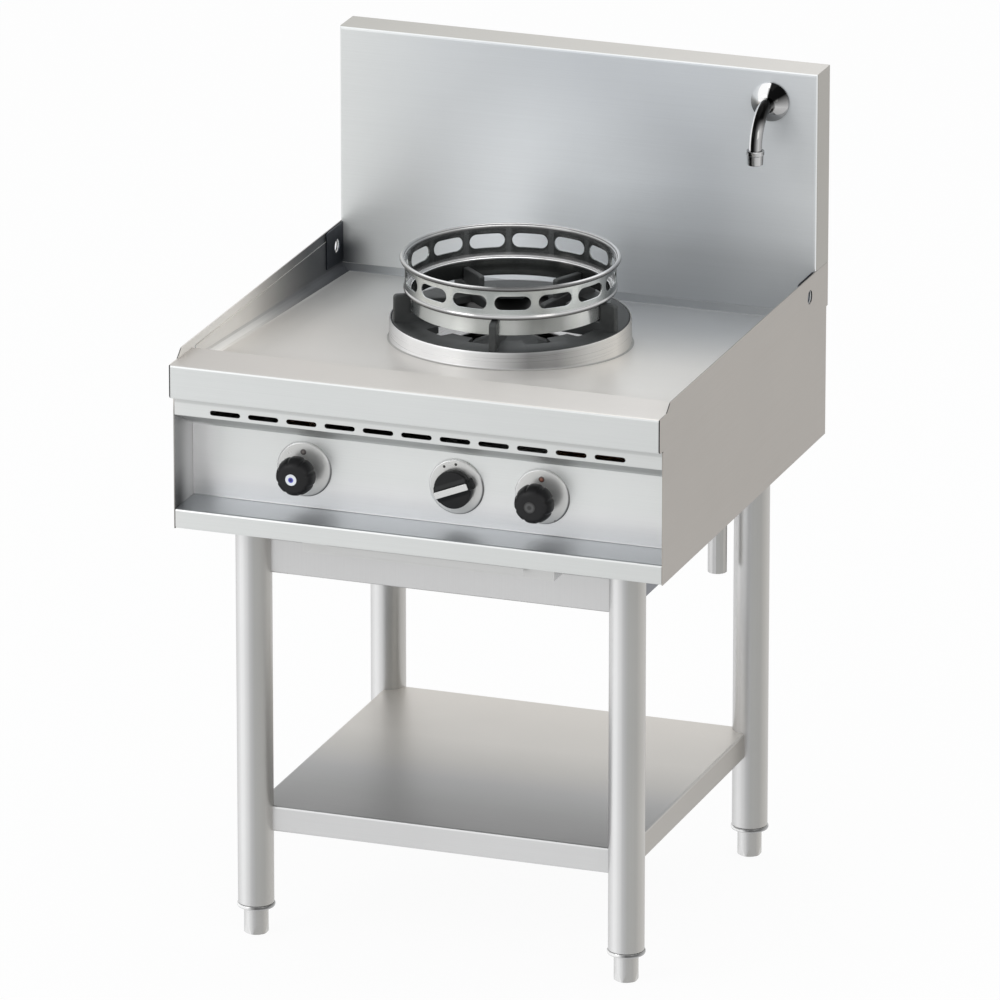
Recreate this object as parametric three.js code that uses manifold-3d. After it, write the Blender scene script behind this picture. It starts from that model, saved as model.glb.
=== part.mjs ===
// Single-burner wok range on a tube stand: folded sheet-steel body with a recessed control panel,
// a sloping wet deck, a cast pan support with a slotted wok ring, a splashback with a water spout,
// and a pull-out drip tray. Millimetres, +Z up, front faces -Y, origin on the floor at the middle.

import * as THREE from 'three'
import { mergeVertices } from 'three/addons/utils/BufferGeometryUtils.js'
import Module from 'manifold-3d'

const wasm = await Module()
wasm.setup()

// ---------------------------------------------------------------- driving dimensions

const width = 700
const depth = 708
const height = 1136.5
const sheet = 1.5
const fit = 0.3
const bend = 1.5

// Body
const bodyBottom = 604.7
const apronLead = 14.6
const rearStep = 5.9
const flangeHeight = 28
const recessDepth = 67.1
const recessHeight = 102
const recessSlope = 31.8
const returnLip = 14
const ventCount = 11
const ventPitch = 55
const ventLength = 44
const ventHeight = 7
const ventRise = 8.6

// Worktop
const worktopLevel = 841.4
const apronHeight = 47.8
const apronCorner = 5
const stripDepth = 84
const deckDrop = 24
const stepRun = 8
const deckFall = 35.4
const coveRadius = 15
const deckUpturn = 12

// Side guards
const guardRise = 12.2
const guardSetback = 28
const guardRun = 16
const guardCorner = 6
const guardHole = 20
const guardHoleInset = 25.3
const guardHoleDrop = 29

// Splashback
const splashDepth = 53.1
const splashBend = 4
const splashTail = 8
const tabReach = 66

// Burner
const burnerSetback = 386
const collarRadius = 165.5
const collarFlare = 1
const collarTop = 833
const ledgeDrop = 10.3
const bowlRim = 142
const bowlMouth = 92
const bowlDepth = 46
const deckHoleRadius = 147
const trivetRadius = 163
const trivetBore = 109
const trivetThickness = 10
const notchCount = 10
const notchTurn = 1.1
const notchRadius = 129
const notchWidth = 36
const lugCount = 5
const lugTurn = 11
const lugWidth = 10
const lugInner = 138.3
const lugOuter = 161.8
const lugTop = 872
const lugRound = 4
const ribInner = 62
const ribTop = 846
const ribTip = 836
const headRadius = 55
const headThickness = 17
const headPorts = 12
const portWidth = 4
const neckRadius = 26
const neckHeight = 36
const castingHeight = 41
const castingRadius = 60
const mixerRadius = 15
const mixerWall = 2.5
const mixerLength = 158
const mixerFlare = 8
const mixerBell = 20
const injectorGap = 3
const injectorRadius = 8
const injectorLength = 17
const bracketOverlap = 10
const bracketFlange = 28
const bracketDepth = 40
const pilotGap = 14

// Wok ring
const ringRadius = 145
const ringSkirtRadius = 137.5
const ringSheet = 1.8
const ringBottom = 849
const ringTop = 920.4
const rimTube = 6.2
const rimOffset = 1
const rollHeight = 6.2
const rollBulge = 1.5
const ringSlots = 15
const ringSlotTurn = 21
const ringSlotLength = 50
const ringSlotHeight = 20
const ringSlotLevel = 896.7

// Controls
const controlLevel = 687.3
const leftTapX = -186.3
const gasTapX = 33
const rightTapX = 155.6
const bezelRadius = 39
const bezelThickness = 3.5
const bezelBevel = 1.6
const bezelBore = 12
const knobRadius = 28.5
const lobeDepth = 2.2
const lobeCount = 8
const tapKnobFront = 43
const tapKnobThickness = 19
const hubRadius = 15
const capRadius = 8
const capThickness = 6.5
const gasKnobFront = 14
const gasKnobThickness = 6
const pushTravel = 4
const barLength = 52
const barWidth = 9.5
const barHeight = 8.5
const barTurn = 22
const spindleRadius = 4.5
const spindleLength = 46
const valveRadius = 16
const valveLength = 52
const portRadius = 8
const portReach = 22

// Pipes
const pipeRadius = 7
const waterLevel = 655
const gasLevel = 628
const riserLevel = 742
const waterInletX = -300
const gasInletX = 150
const coolingX = -240
const waterPortSetback = 36
const gasPortSetback = 13
const pipeBend = 16
const inletReach = 5

// Spout
const spoutX = 282
const spoutDrop = 44.9
const spoutRadius = 8
const spoutBend = 42
const spoutReach = 68
const rosetteRadius = 27.5
const rosetteDepth = 15
const nozzleRadius = 11.2
const nozzleDrop = 51.6
const nozzleLength = 23
const nozzleCollar = 6
const nozzleSeat = 11

// Stand
const legSpan = 538.8
const legInsetFront = 89.4
const legInsetRear = 75.9
const legRadius = 25
const legWall = 1.5
const legBottom = 44.7
const legPlate = 56
const legPlateThickness = 3
const railBottom = 524.5
const railHeight = 50
const railDepth = 20
const shelfLevel = 186.3
const shelfFlange = 37
const shelfLip = 15
const beadRadius = 26.5
const beadHeight = 5.8
const plugLength = 26
const studRadius = 6
const studLength = 40
const footRadius = 17
const footFlats = 31
const footFlatHeight = 12

// Drip tray and drain
const trayWidth = 362
const trayDepth = 470
const trayHeight = 20
const trayBottom = 577
const trayInset = 43.4
const trayLip = 14
const traySheet = 1.2
const mouthWidth = 150
const mouthDepth = 190
const mouthCorner = 8
const strainerX = 0
const strainerInset = 60.9
const strainerRadius = 34
const strainerCup = 26
const strainerWall = 2
const strainerCone = 12
const strainerDepth = 26
const strainerTail = 14
const sieveHoles = 5
const drainX = 233.4
const drainInset = 118.1
const drainRadius = 13.45
const drainWall = 1.2
const drainBottom = 427.4
const drainJoint = 655
const drainCross = 700
const drainFall = 12
const drainBend = 28

// Facets of the burner's rings, of the legs and of small turned pieces
const ringSides = 30
const legSides = 16
const smallSides = 12

// ---------------------------------------------------------------- derived levels

const halfWidth = width / 2
const inner = halfWidth - sheet - fit
const frontFace = -depth / 2
const rearFace = depth / 2
const bodyFront = frontFace + apronLead
const bodyRear = rearFace - rearStep
const panelFace = bodyFront + recessDepth
const panelBack = panelFace + sheet
const ledgeLevel = bodyBottom + flangeHeight
const recessTop = ledgeLevel + recessHeight
const stripBottom = recessTop + recessSlope
const apronBottom = worktopLevel - apronHeight
const splashFront = rearFace - splashDepth
const guardTop = worktopLevel + guardRise
const guardHoleY = splashFront - guardHoleInset
const guardHoleZ = guardTop - guardHoleDrop
const floorTop = bodyBottom + sheet
const stepFoot = frontFace + stripDepth + stepRun
const deckFront = worktopLevel - deckDrop
const deckEnd = splashFront - fit - sheet
const deckSlope = deckFall / (deckEnd - stepFoot)
const deckAngle = Math.atan(deckSlope)
const burnerY = frontFace + burnerSetback
const legX = legSpan / 2
const legFrontY = bodyFront + legInsetFront
const legRearY = bodyRear - legInsetRear
const legTop = bodyBottom - fit
const coverBottom = apronBottom - returnLip / 4
const drainY = bodyRear - drainInset
const strainerY = splashFront - strainerInset
const ledge = collarTop - ledgeDrop
const trivetBottom = ledge + fit
const trivetTop = trivetBottom + trivetThickness
const bezelFace = panelFace - fit - bezelThickness
const waterPortY = panelBack + waterPortSetback
const gasPortY = panelBack + gasPortSetback
const spoutLevel = height - spoutDrop
const nozzleTop = spoutLevel - nozzleDrop
const nozzleBottom = nozzleTop - nozzleLength

const deckLevel = (y) => deckFront - (y - stepFoot) * deckSlope

// ---------------------------------------------------------------- geometry helpers

// Closed solid of a three.js geometry, with its faces turned outwards.
function solid(geometry) {
  geometry.deleteAttribute('normal')
  geometry.deleteAttribute('uv')
  const merged = mergeVertices(geometry, 1e-4)
  const points = merged.attributes.position
  const index = Array.from(merged.index.array)
  const kept = []
  const [a, b, c] = [new THREE.Vector3(), new THREE.Vector3(), new THREE.Vector3()]
  let volume = 0
  for (let i = 0; i < index.length; i += 3) {
    const [p, q, r] = index.slice(i, i + 3)
    if (p === q || q === r || r === p) continue
    kept.push(p, q, r)
    a.fromBufferAttribute(points, p)
    b.fromBufferAttribute(points, q)
    c.fromBufferAttribute(points, r)
    volume += a.dot(b.cross(c))
  }
  if (volume < 0) kept.reverse()
  return new wasm.Manifold(new wasm.Mesh({
    numProp: 3,
    vertProperties: new Float32Array(points.array),
    triVerts: new Uint32Array(kept),
  }))
}

function geometryOf(body) {
  const mesh = body.getMesh()
  const geometry = new THREE.BufferGeometry()
  geometry.setAttribute('position', new THREE.BufferAttribute(new Float32Array(mesh.vertProperties), 3))
  geometry.setIndex(new THREE.BufferAttribute(new Uint32Array(mesh.triVerts), 1))
  return geometry
}

const joined = (...bodies) => bodies.reduce((all, body) => all.add(body))
const cut = (body, ...tools) => tools.reduce((rest, tool) => rest.subtract(tool), body)
const around = (count, first, make) =>
  Array.from({ length: count }, (_, i) => make(first + (360 / count) * i, i))

function box(x0, x1, y0, y1, z0, z1) {
  const geometry = new THREE.BoxGeometry(x1 - x0, y1 - y0, z1 - z0)
  geometry.translate((x0 + x1) / 2, (y0 + y1) / 2, (z0 + z1) / 2)
  return solid(geometry)
}

// Closed outline with rounded corners; each corner is [u, v, radius].
function rounded(corners, turnStep = Math.PI / 6) {
  const points = []
  corners.forEach(([u, v, radius = 0], i) => {
    const corner = new THREE.Vector2(u, v)
    if (radius === 0) {
      points.push(corner)
      return
    }
    const before = corners[(i + corners.length - 1) % corners.length]
    const after = corners[(i + 1) % corners.length]
    const back = new THREE.Vector2(before[0] - u, before[1] - v).normalize()
    const on = new THREE.Vector2(after[0] - u, after[1] - v).normalize()
    const half = Math.acos(THREE.MathUtils.clamp(back.dot(on), -1, 1)) / 2
    const centre = back.clone().add(on).normalize().multiplyScalar(radius / Math.sin(half)).add(corner)
    const start = back.multiplyScalar(radius / Math.tan(half)).add(corner).sub(centre)
    const end = on.multiplyScalar(radius / Math.tan(half)).add(corner).sub(centre)
    const turn = Math.atan2(start.cross(end), start.dot(end))
    const steps = Math.max(2, Math.ceil(Math.abs(turn) / turnStep - 1e-6))
    for (let s = 0; s <= steps; s += 1) {
      points.push(start.clone().rotateAround(new THREE.Vector2(), (turn * s) / steps).add(centre))
    }
  })
  return new THREE.Shape(points)
}

// Outline of a folded sheet: the path is one face, the other lies to its left.
function folded(path, thickness, inside = bend) {
  const faces = path.map(([u, v], i) => {
    const at = new THREE.Vector2(u, v)
    const previous = path[i - 1] && new THREE.Vector2(...path[i - 1])
    const next = path[i + 1] && new THREE.Vector2(...path[i + 1])
    const first = (previous ? at.clone().sub(previous) : next.clone().sub(at)).normalize()
    const last = (next ? next.clone().sub(at) : at.clone().sub(previous)).normalize()
    const left = new THREE.Vector2(-first.y - last.y, first.x + last.x)
    left.multiplyScalar(thickness / (1 + first.dot(last)))
    const turn = previous && next ? first.cross(last) : 0
    const near = turn === 0 ? 0 : turn > 0 ? inside + thickness : inside
    const far = turn === 0 ? 0 : turn > 0 ? inside : inside + thickness
    return { near: [u, v, near], far: [u + left.x, v + left.y, far] }
  })
  return rounded([...faces.map((f) => f.near), ...faces.map((f) => f.far).reverse()], Math.PI / 4)
}

const circle = (radius, sides = 24) => new THREE.Shape(
  Array.from({ length: sides }, (_, i) => new THREE.Vector2(radius, 0)
    .rotateAround(new THREE.Vector2(), (2 * Math.PI * (i + 0.5)) / sides)))

const rectangle = (u0, u1, v0, v1, radius = 0) => rounded([
  [u0, v0, radius], [u1, v0, radius], [u1, v1, radius], [u0, v1, radius]])

// Slot with round ends, centred on the origin.
const obround = (length, high) => rounded([
  [-length / 2, -high / 2, high / 2.001], [length / 2, -high / 2, high / 2.001],
  [length / 2, high / 2, high / 2.001], [-length / 2, high / 2, high / 2.001]], Math.PI / 4)

function extruded(shape, length) {
  return new THREE.ExtrudeGeometry(shape, { depth: length, bevelEnabled: false, curveSegments: 1 })
}

// Shape in (y, z), from x0 to x1.
function alongX(shape, x0, x1) {
  const geometry = extruded(shape, x1 - x0)
  geometry.applyMatrix4(new THREE.Matrix4().set(0, 0, 1, x0, 1, 0, 0, 0, 0, 1, 0, 0, 0, 0, 0, 1))
  return solid(geometry)
}

// Shape in (x, z), from y0 to y1.
function alongY(shape, y0, y1) {
  const geometry = extruded(shape, y1 - y0)
  geometry.applyMatrix4(new THREE.Matrix4().set(1, 0, 0, 0, 0, 0, -1, y1, 0, 1, 0, 0, 0, 0, 0, 1))
  return solid(geometry)
}

// Shape in (x, y), from z0 to z1.
function alongZ(shape, z0, z1) {
  const geometry = extruded(shape, z1 - z0)
  geometry.translate(0, 0, z0)
  return solid(geometry)
}

// Turned piece on the Z axis; the profile holds [radius, z].
function turned(profile, segments = 24) {
  const points = profile.map(([r, z]) => new THREE.Vector2(r, z))
  if (profile[0][0] > 0) points.push(points[0].clone())
  const geometry = new THREE.LatheGeometry(points, segments)
  geometry.rotateX(Math.PI / 2)
  return solid(geometry)
}

// Turned piece on an axis along Y through (x, z); the profile holds [radius, y].
function turnedY(profile, x, z, segments = 24) {
  const points = profile.map(([r, y]) => new THREE.Vector2(r, y))
  if (profile[0][0] > 0) points.push(points[0].clone())
  const geometry = new THREE.LatheGeometry(points, segments)
  geometry.translate(x, 0, z)
  return solid(geometry)
}

const rod = (x, y, z0, z1, radius, sides = 20) =>
  alongZ(circle(radius, sides), z0, z1).translate([x, y, 0])
const rodX = (y, z, x0, x1, radius, sides = 24) =>
  alongX(circle(radius, sides), x0, x1).translate([0, y, z])
const rodY = (x, z, y0, y1, radius, sides = 24) =>
  alongY(circle(radius, sides), y0, y1).translate([x, 0, z])

// Centre line through the corners, each bent at the given radius, with stations at the ends of the
// straights and a few in each bend.
class Route extends THREE.Curve {
  constructor(corners, radius, bendSteps = 3) {
    super()
    const points = corners.map((corner) => new THREE.Vector3(...corner))
    const heading = (i) => points[i + 1].clone().sub(points[i]).normalize()
    const last = points.length - 1
    this.stations = [{ at: points[0], along: heading(0) }]
    for (let i = 1; i < last; i += 1) {
      const [along, on] = [heading(i - 1), heading(i)]
      const axis = along.clone().cross(on).normalize()
      const turn = along.angleTo(on)
      const centre = on.clone().sub(along).normalize().multiplyScalar(radius / Math.cos(turn / 2))
        .add(points[i])
      const start = along.clone().multiplyScalar(-radius * Math.tan(turn / 2)).add(points[i]).sub(centre)
      for (let step = 0; step <= bendSteps; step += 1) {
        const angle = (turn * step) / bendSteps
        this.stations.push({
          at: start.clone().applyAxisAngle(axis, angle).add(centre),
          along: along.clone().applyAxisAngle(axis, angle),
        })
      }
    }
    this.stations.push({ at: points[last], along: heading(last - 1) })
  }

  station(u) {
    return this.stations[Math.round(u * (this.stations.length - 1))]
  }

  getPointAt(u, target = new THREE.Vector3()) {
    return target.copy(this.station(u).at)
  }

  getTangentAt(u, target = new THREE.Vector3()) {
    return target.copy(this.station(u).along)
  }
}

// Round bar along a route.
function piped(corners, radius, bendRadius, sides = 8) {
  const extrudePath = new Route(corners, bendRadius)
  const steps = extrudePath.stations.length - 1
  return solid(new THREE.ExtrudeGeometry(circle(radius, sides), { steps, extrudePath, curveSegments: 1 }))
}

// ---------------------------------------------------------------- assembly

const range = new THREE.Group()

function add(name, body, color, roughness, metalness, place = [0, 0, 0]) {
  const material = new THREE.MeshStandardMaterial({ color, roughness, metalness })
  const mesh = new THREE.Mesh(geometryOf(body), material)
  mesh.name = name
  mesh.position.set(...place)
  range.add(mesh)
}

const steel = [0xc9cac9, 0.34, 1]
const satin = [0xb9b9b8, 0.42, 1]
const bright = [0xd2d3d3, 0.2, 1]
const iron = [0x3a3b3c, 0.65, 0.6]
const black = [0x2a2a2b, 0.42, 0]
const brass = [0xb08d4a, 0.35, 1]
const copper = [0xb5734d, 0.35, 1]

// ---------------------------------------------------------------- stand

function leg(x, y) {
  const tube = cut(rod(x, y, legBottom, legTop - legPlateThickness, legRadius, legSides),
    rod(x, y, legBottom - 1, legTop - legPlateThickness - legWall, legRadius - legWall, legSides))
  const half = legPlate / 2
  return tube.add(box(x - half, x + half, y - half, y + half, legTop - legPlateThickness, legTop))
}

// Cross rail: an open channel between two legs, its web on their centre plane.
function railSection(face, inward) {
  const back = face + inward * railDepth
  const path = [[back, railBottom], [face, railBottom], [face, railBottom + railHeight],
    [back, railBottom + railHeight]]
  return folded(inward > 0 ? path.reverse() : path, sheet)
}

function endFrame(y, inward) {
  const rail = alongX(railSection(y, inward), -legX + legRadius / 2, legX - legRadius / 2)
  const hollows = [-legX, legX].map((x) =>
    rod(x, y, legBottom - 1, legTop - legPlateThickness - legWall, legRadius - legWall, legSides))
  return cut(joined(leg(-legX, y), leg(legX, y), rail), ...hollows)
}

add('frame_front', endFrame(legFrontY, 1), ...satin)
add('frame_rear', endFrame(legRearY, -1), ...satin)

for (const [side, name] of [[-1, 'rail_left'], [1, 'rail_right']]) {
  const web = side * legX
  const back = web - side * railDepth
  const path = [[back, railBottom], [web, railBottom], [web, railBottom + railHeight],
    [back, railBottom + railHeight]]
  const rail = alongY(folded(side > 0 ? path : path.reverse(), sheet), legFrontY, legRearY)
  const ends = [legFrontY, legRearY].map((y) =>
    rod(web, y, railBottom - 1, railBottom + railHeight + 1, legRadius + fit, legSides))
  const corners = box(-halfWidth, halfWidth, legFrontY + railDepth + fit, legRearY - railDepth - fit,
    railBottom - 1, railBottom + railHeight + 1)
  add(name, cut(rail, ...ends).intersect(corners), ...satin)
}

const feet = [['front_left', -legX, legFrontY], ['front_right', legX, legFrontY],
  ['rear_left', -legX, legRearY], ['rear_right', legX, legRearY]]

const beadBottom = legBottom - fit - beadHeight
for (const [corner, x, y] of feet) {
  const plug = (legRadius - legWall) * Math.cos(Math.PI / legSides) - fit
  const insert = turned([[studRadius + fit, beadBottom], [beadRadius - beadHeight / 2, beadBottom],
    [beadRadius, beadBottom + beadHeight / 2], [beadRadius - beadHeight / 3, beadBottom + beadHeight],
    [plug, beadBottom + beadHeight], [plug, legBottom + plugLength],
    [studRadius + fit, legBottom + plugLength]], smallSides)
  add(`foot_insert_${corner}`, insert, ...bright, [x, y, 0])

  const footTop = beadBottom - fit
  const round = turned([[0, 0], [footRadius, 0], [footRadius, footTop], [studRadius, footTop],
    [studRadius, footTop + studLength], [0, footTop + studLength]], smallSides)
  const flats = alongZ(circle(footFlats / Math.sqrt(3), 6), 0, footFlatHeight)
  const above = box(-footRadius, footRadius, -footRadius, footRadius, footFlatHeight,
    footTop + studLength + 1)
  add(`foot_${corner}`, round.intersect(flats.add(above)), ...bright, [x, y, 0])
}

// Shelf: an upturned tray, its corners notched round the legs.
const shelfBottom = shelfLevel - shelfFlange
const shelfShell = joined(
  alongX(folded([[legRearY - shelfLip, shelfBottom], [legRearY, shelfBottom], [legRearY, shelfLevel],
    [legFrontY, shelfLevel], [legFrontY, shelfBottom], [legFrontY + shelfLip, shelfBottom]], sheet),
  -legX + legRadius / 2, legX - legRadius / 2),
  alongY(folded([[legX - shelfLip, shelfBottom], [legX, shelfBottom], [legX, shelfLevel],
    [-legX, shelfLevel], [-legX, shelfBottom], [-legX + shelfLip, shelfBottom]], sheet),
  legFrontY + legRadius / 2, legRearY - legRadius / 2))
const shelfNotches = feet.map(([, x, y]) =>
  rod(x, y, shelfBottom - 1, shelfLevel + 1, legRadius + fit, legSides))
add('shelf', cut(shelfShell, ...shelfNotches), ...steel)

// ---------------------------------------------------------------- body sheets

const guardHoleTool = rodX(guardHoleY, guardHoleZ, -halfWidth - 1, halfWidth + 1, guardHole / 2, 16)

const sideOutline = rounded([
  [bodyFront, bodyBottom], [bodyFront, apronBottom], [frontFace, apronBottom, apronCorner],
  [frontFace, worktopLevel, 2], [frontFace + guardSetback, worktopLevel, 3],
  [frontFace + guardSetback + guardRun, guardTop, guardCorner], [rearFace, guardTop],
  [rearFace, coverBottom], [bodyRear, coverBottom], [bodyRear, bodyBottom]])
add('side_left', cut(alongX(sideOutline, -halfWidth, -halfWidth + sheet), guardHoleTool), ...steel)
add('side_right', cut(alongX(sideOutline, halfWidth - sheet, halfWidth), guardHoleTool), ...steel)

// Floor: upturned at its sides and rear, open over the drip tray.
const floorFront = bodyFront + returnLip + fit
const floorRear = bodyRear - sheet - fit
const floorSheet = alongY(folded([[-inner, floorTop + returnLip], [-inner, bodyBottom],
  [inner, bodyBottom], [inner, floorTop + returnLip]], sheet), floorFront, floorRear)
const floorMouth = alongZ(rectangle(-mouthWidth / 2, mouthWidth / 2, burnerY - mouthDepth / 2,
  burnerY + mouthDepth / 2, mouthCorner), bodyBottom - 1, floorTop + 1)
const floorDrain = rod(drainX, drainY, bodyBottom - 1, floorTop + 1, drainRadius + fit, 16)
add('floor_panel', cut(floorSheet, floorMouth, floorDrain), ...satin)

const rearSheet = box(-inner, inner, bodyRear - sheet, bodyRear, bodyBottom, coverBottom - fit)
add('rear_panel', cut(rearSheet,
  rodY(waterInletX, waterLevel, bodyRear - 3, bodyRear + 1, pipeRadius + fit, 12),
  rodY(gasInletX, gasLevel, bodyRear - 3, bodyRear + 1, pipeRadius + fit, 12)), ...satin)

// Fascia: flange, ledge, recessed panel, sloping soffit and vented strip from one folded sheet.
const fasciaTop = worktopLevel - sheet - fit
const fasciaSheet = alongX(folded([[bodyFront + returnLip, fasciaTop], [bodyFront, fasciaTop],
  [bodyFront, stripBottom], [panelFace, recessTop], [panelFace, ledgeLevel], [bodyFront, ledgeLevel],
  [bodyFront, bodyBottom], [bodyFront + returnLip, bodyBottom]], sheet), -inner, inner)
const vents = Array.from({ length: ventCount }, (_, i) =>
  alongY(obround(ventLength, ventHeight), bodyFront - 2, bodyFront + sheet + 2)
    .translate([(i - (ventCount - 1) / 2) * ventPitch, 0, stripBottom + ventRise]))
const shanks = [leftTapX, gasTapX, rightTapX].map((x) =>
  rodY(x, controlLevel, panelFace - 3, panelBack + 3, bezelBore, smallSides))
add('fascia', cut(fasciaSheet, ...vents, ...shanks), ...steel)

// Worktop: apron, level front strip, step, sloping deck with coved sides, upturn at the splashback.
const deckRear = deckLevel(deckEnd)
const worktopSheet = alongX(folded([[deckEnd, deckRear + deckUpturn], [deckEnd, deckRear],
  [stepFoot, deckFront], [stepFoot - stepRun, worktopLevel], [frontFace, worktopLevel],
  [frontFace, apronBottom], [frontFace + returnLip - sheet, apronBottom]], sheet), -inner, inner)
const coveSide = (side) => {
  const wall = side * inner
  const face = side * (inner - sheet)
  const shape = rounded([[wall, -sheet], [wall, deckDrop + deckFall], [face, deckDrop + deckFall],
    [face, 0, coveRadius], [face - side * 2 * coveRadius, 0], [face - side * 2 * coveRadius, -sheet]],
  Math.PI / 12)
  return alongY(shape, 0, deckEnd + sheet - stepFoot).rotate([-THREE.MathUtils.radToDeg(deckAngle), 0, 0])
    .translate([0, stepFoot, deckFront])
}
const worktopTrim = box(-halfWidth, halfWidth, frontFace - 1, deckEnd + sheet, apronBottom - 50,
  worktopLevel)
const deckHole = rod(0, burnerY, deckRear - 20, worktopLevel + 1, deckHoleRadius, ringSides)
const strainerHole = rod(strainerX, strainerY, deckRear - 20, worktopLevel + 1, strainerCup + fit, 24)
const worktopWhole = joined(worktopSheet, coveSide(-1), coveSide(1)).intersect(worktopTrim)
add('worktop', cut(worktopWhole, deckHole, strainerHole, guardHoleTool), ...steel)

// ---------------------------------------------------------------- splashback

// Shell: front, sides and top bent from one sheet, open at the rear; its tail stands behind the deck.
function splashForm(inset) {
  const radius = splashBend - inset
  const plan = rounded([[-halfWidth + inset, splashFront + inset, radius],
    [halfWidth - inset, splashFront + inset, radius], [halfWidth - inset, rearFace + inset],
    [-halfWidth + inset, rearFace + inset]])
  const side = rounded([[splashFront + inset, guardTop - inset],
    [splashFront + inset, height - inset, radius], [rearFace + inset, height - inset],
    [rearFace + inset, guardTop - inset]])
  return alongZ(plan, guardTop + fit - inset, height).intersect(alongX(side, -halfWidth, halfWidth))
}
const spoutHole = rodY(spoutX, spoutLevel, splashFront - 2, splashFront + sheet + 2, spoutRadius + fit, 24)
const splashTongue = box(-inner, inner, splashFront, splashFront + sheet, deckRear - splashTail,
  guardTop + fit + splashBend)
const splashSkin = cut(splashForm(0), splashForm(sheet),
  box(-halfWidth, halfWidth, splashFront + splashBend, rearFace + 2, guardTop, guardTop + fit + 1e-3))
add('splash_shell', cut(splashSkin.add(splashTongue), spoutHole), ...steel)

const coverSheet = alongX(folded([[bodyRear + fit, coverBottom], [rearFace, coverBottom],
  [rearFace, height - sheet - fit]], sheet), -inner, inner)
add('splash_cover', coverSheet, ...satin)

// Tabs that tie the splashback to the guards, notched under by the deck.
for (const [side, name] of [[-1, 'splash_tab_left'], [1, 'splash_tab_right']]) {
  const outer = side * (inner - sheet - fit)
  const face = outer - side * sheet
  const tabFront = splashFront - tabReach
  const shape = rounded([[tabFront, deckLevel(tabFront) + coveRadius],
    [tabFront, guardTop, guardCorner], [splashFront - fit - sheet - fit, guardTop],
    [splashFront - fit - sheet - fit, deckRear + coveRadius]])
  add(name, cut(alongX(shape, Math.min(outer, face), Math.max(outer, face)), guardHoleTool), ...satin)
}

// ---------------------------------------------------------------- burner

const deckSlab = box(-halfWidth, halfWidth, stepFoot, deckEnd, -60, fit)
  .translate([0, -stepFoot, 0])
  .rotate([-THREE.MathUtils.radToDeg(deckAngle), 0, 0])
  .translate([0, stepFoot, deckFront])
const collarFoot = deckRear - 12
const collarRing = turned([[collarRadius + collarFlare, collarFoot], [collarRadius, collarTop],
  [collarRadius - sheet, collarTop], [collarRadius - sheet, ledge], [bowlRim, ledge],
  [bowlMouth + sheet, collarTop - bowlDepth - sheet], [bowlMouth, collarTop - bowlDepth - sheet],
  [bowlMouth, collarTop - bowlDepth - 2 * sheet], [bowlMouth + 2 * sheet, collarTop - bowlDepth - 2 * sheet],
  [bowlRim, ledge - sheet], [collarRadius - sheet, ledge - sheet],
  [collarRadius + collarFlare - sheet, collarFoot]], ringSides).translate([0, burnerY, 0])
const collarCut = deckSlab.subtract(rod(0, burnerY, deckRear - 80, collarTop + 80, deckHoleRadius + 4, ringSides))
add('burner_collar', cut(collarRing, collarCut), ...steel)

// Pan support: a flat ring with five upright lugs, each on a rib that falls towards the middle.
const radialRib = rounded([[ribInner, trivetBottom], [lugOuter, trivetBottom], [lugOuter, lugTop, lugRound],
  [lugInner, lugTop, lugRound / 2], [lugInner, ribTop], [ringSkirtRadius - 8, ribTop], [ribInner, ribTip, 4]])
const lugs = around(lugCount, lugTurn, (angle) =>
  alongX(radialRib, -lugWidth / 2, lugWidth / 2).rotate([0, 0, angle + 180]))
const trivetRing = turned([[trivetBore, trivetBottom], [trivetRadius, trivetBottom],
  [trivetRadius, trivetTop - 2], [trivetRadius - 2, trivetTop], [trivetBore, trivetTop]], ringSides)
const trivetNotches = around(notchCount, notchTurn, (angle) =>
  box(-notchWidth / 2, notchWidth / 2, 0, notchRadius, trivetBottom - 1, trivetTop + 1)
    .rotate([0, 0, angle + 180]))
add('trivet', joined(cut(trivetRing, ...trivetNotches), ...lugs), ...iron, [0, burnerY, 0])

// Wok ring: skirt inside the lugs, bead on top of them, slotted band and rolled rim.
const rimRadius = rimTube / 2
const rimCentre = ringRadius + rimRadius - ringSheet / 2 + rimOffset
const rimLevel = ringTop - rimRadius
const rimArc = Array.from({ length: 5 }, (_, i) => {
  const angle = THREE.MathUtils.degToRad(-120 + 70 * i)
  return [rimCentre + rimRadius * Math.cos(angle), rimLevel + rimRadius * Math.sin(angle)]
})
const beadSeat = lugTop + fit
const ringBand = turned([[ringSkirtRadius, ringBottom], [ringSkirtRadius, beadSeat],
  [ringRadius, beadSeat], [ringRadius + rollBulge, beadSeat + rollHeight / 2],
  [ringRadius, beadSeat + rollHeight], [ringRadius, rimLevel - rimRadius - 1], ...rimArc,
  [ringRadius - ringSheet, rimLevel], [ringRadius - ringSheet, beadSeat + ringSheet],
  [ringSkirtRadius - ringSheet, beadSeat + ringSheet], [ringSkirtRadius - ringSheet, ringBottom]], ringSides)
const ringCuts = around(ringSlots, ringSlotTurn, (angle) =>
  alongY(obround(ringSlotLength, ringSlotHeight), -ringRadius - 12, -ringRadius + 12)
    .translate([0, 0, ringSlotLevel]).rotate([0, 0, angle]))
add('wok_ring', cut(ringBand, ...ringCuts), ...bright, [0, burnerY, 0])

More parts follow.
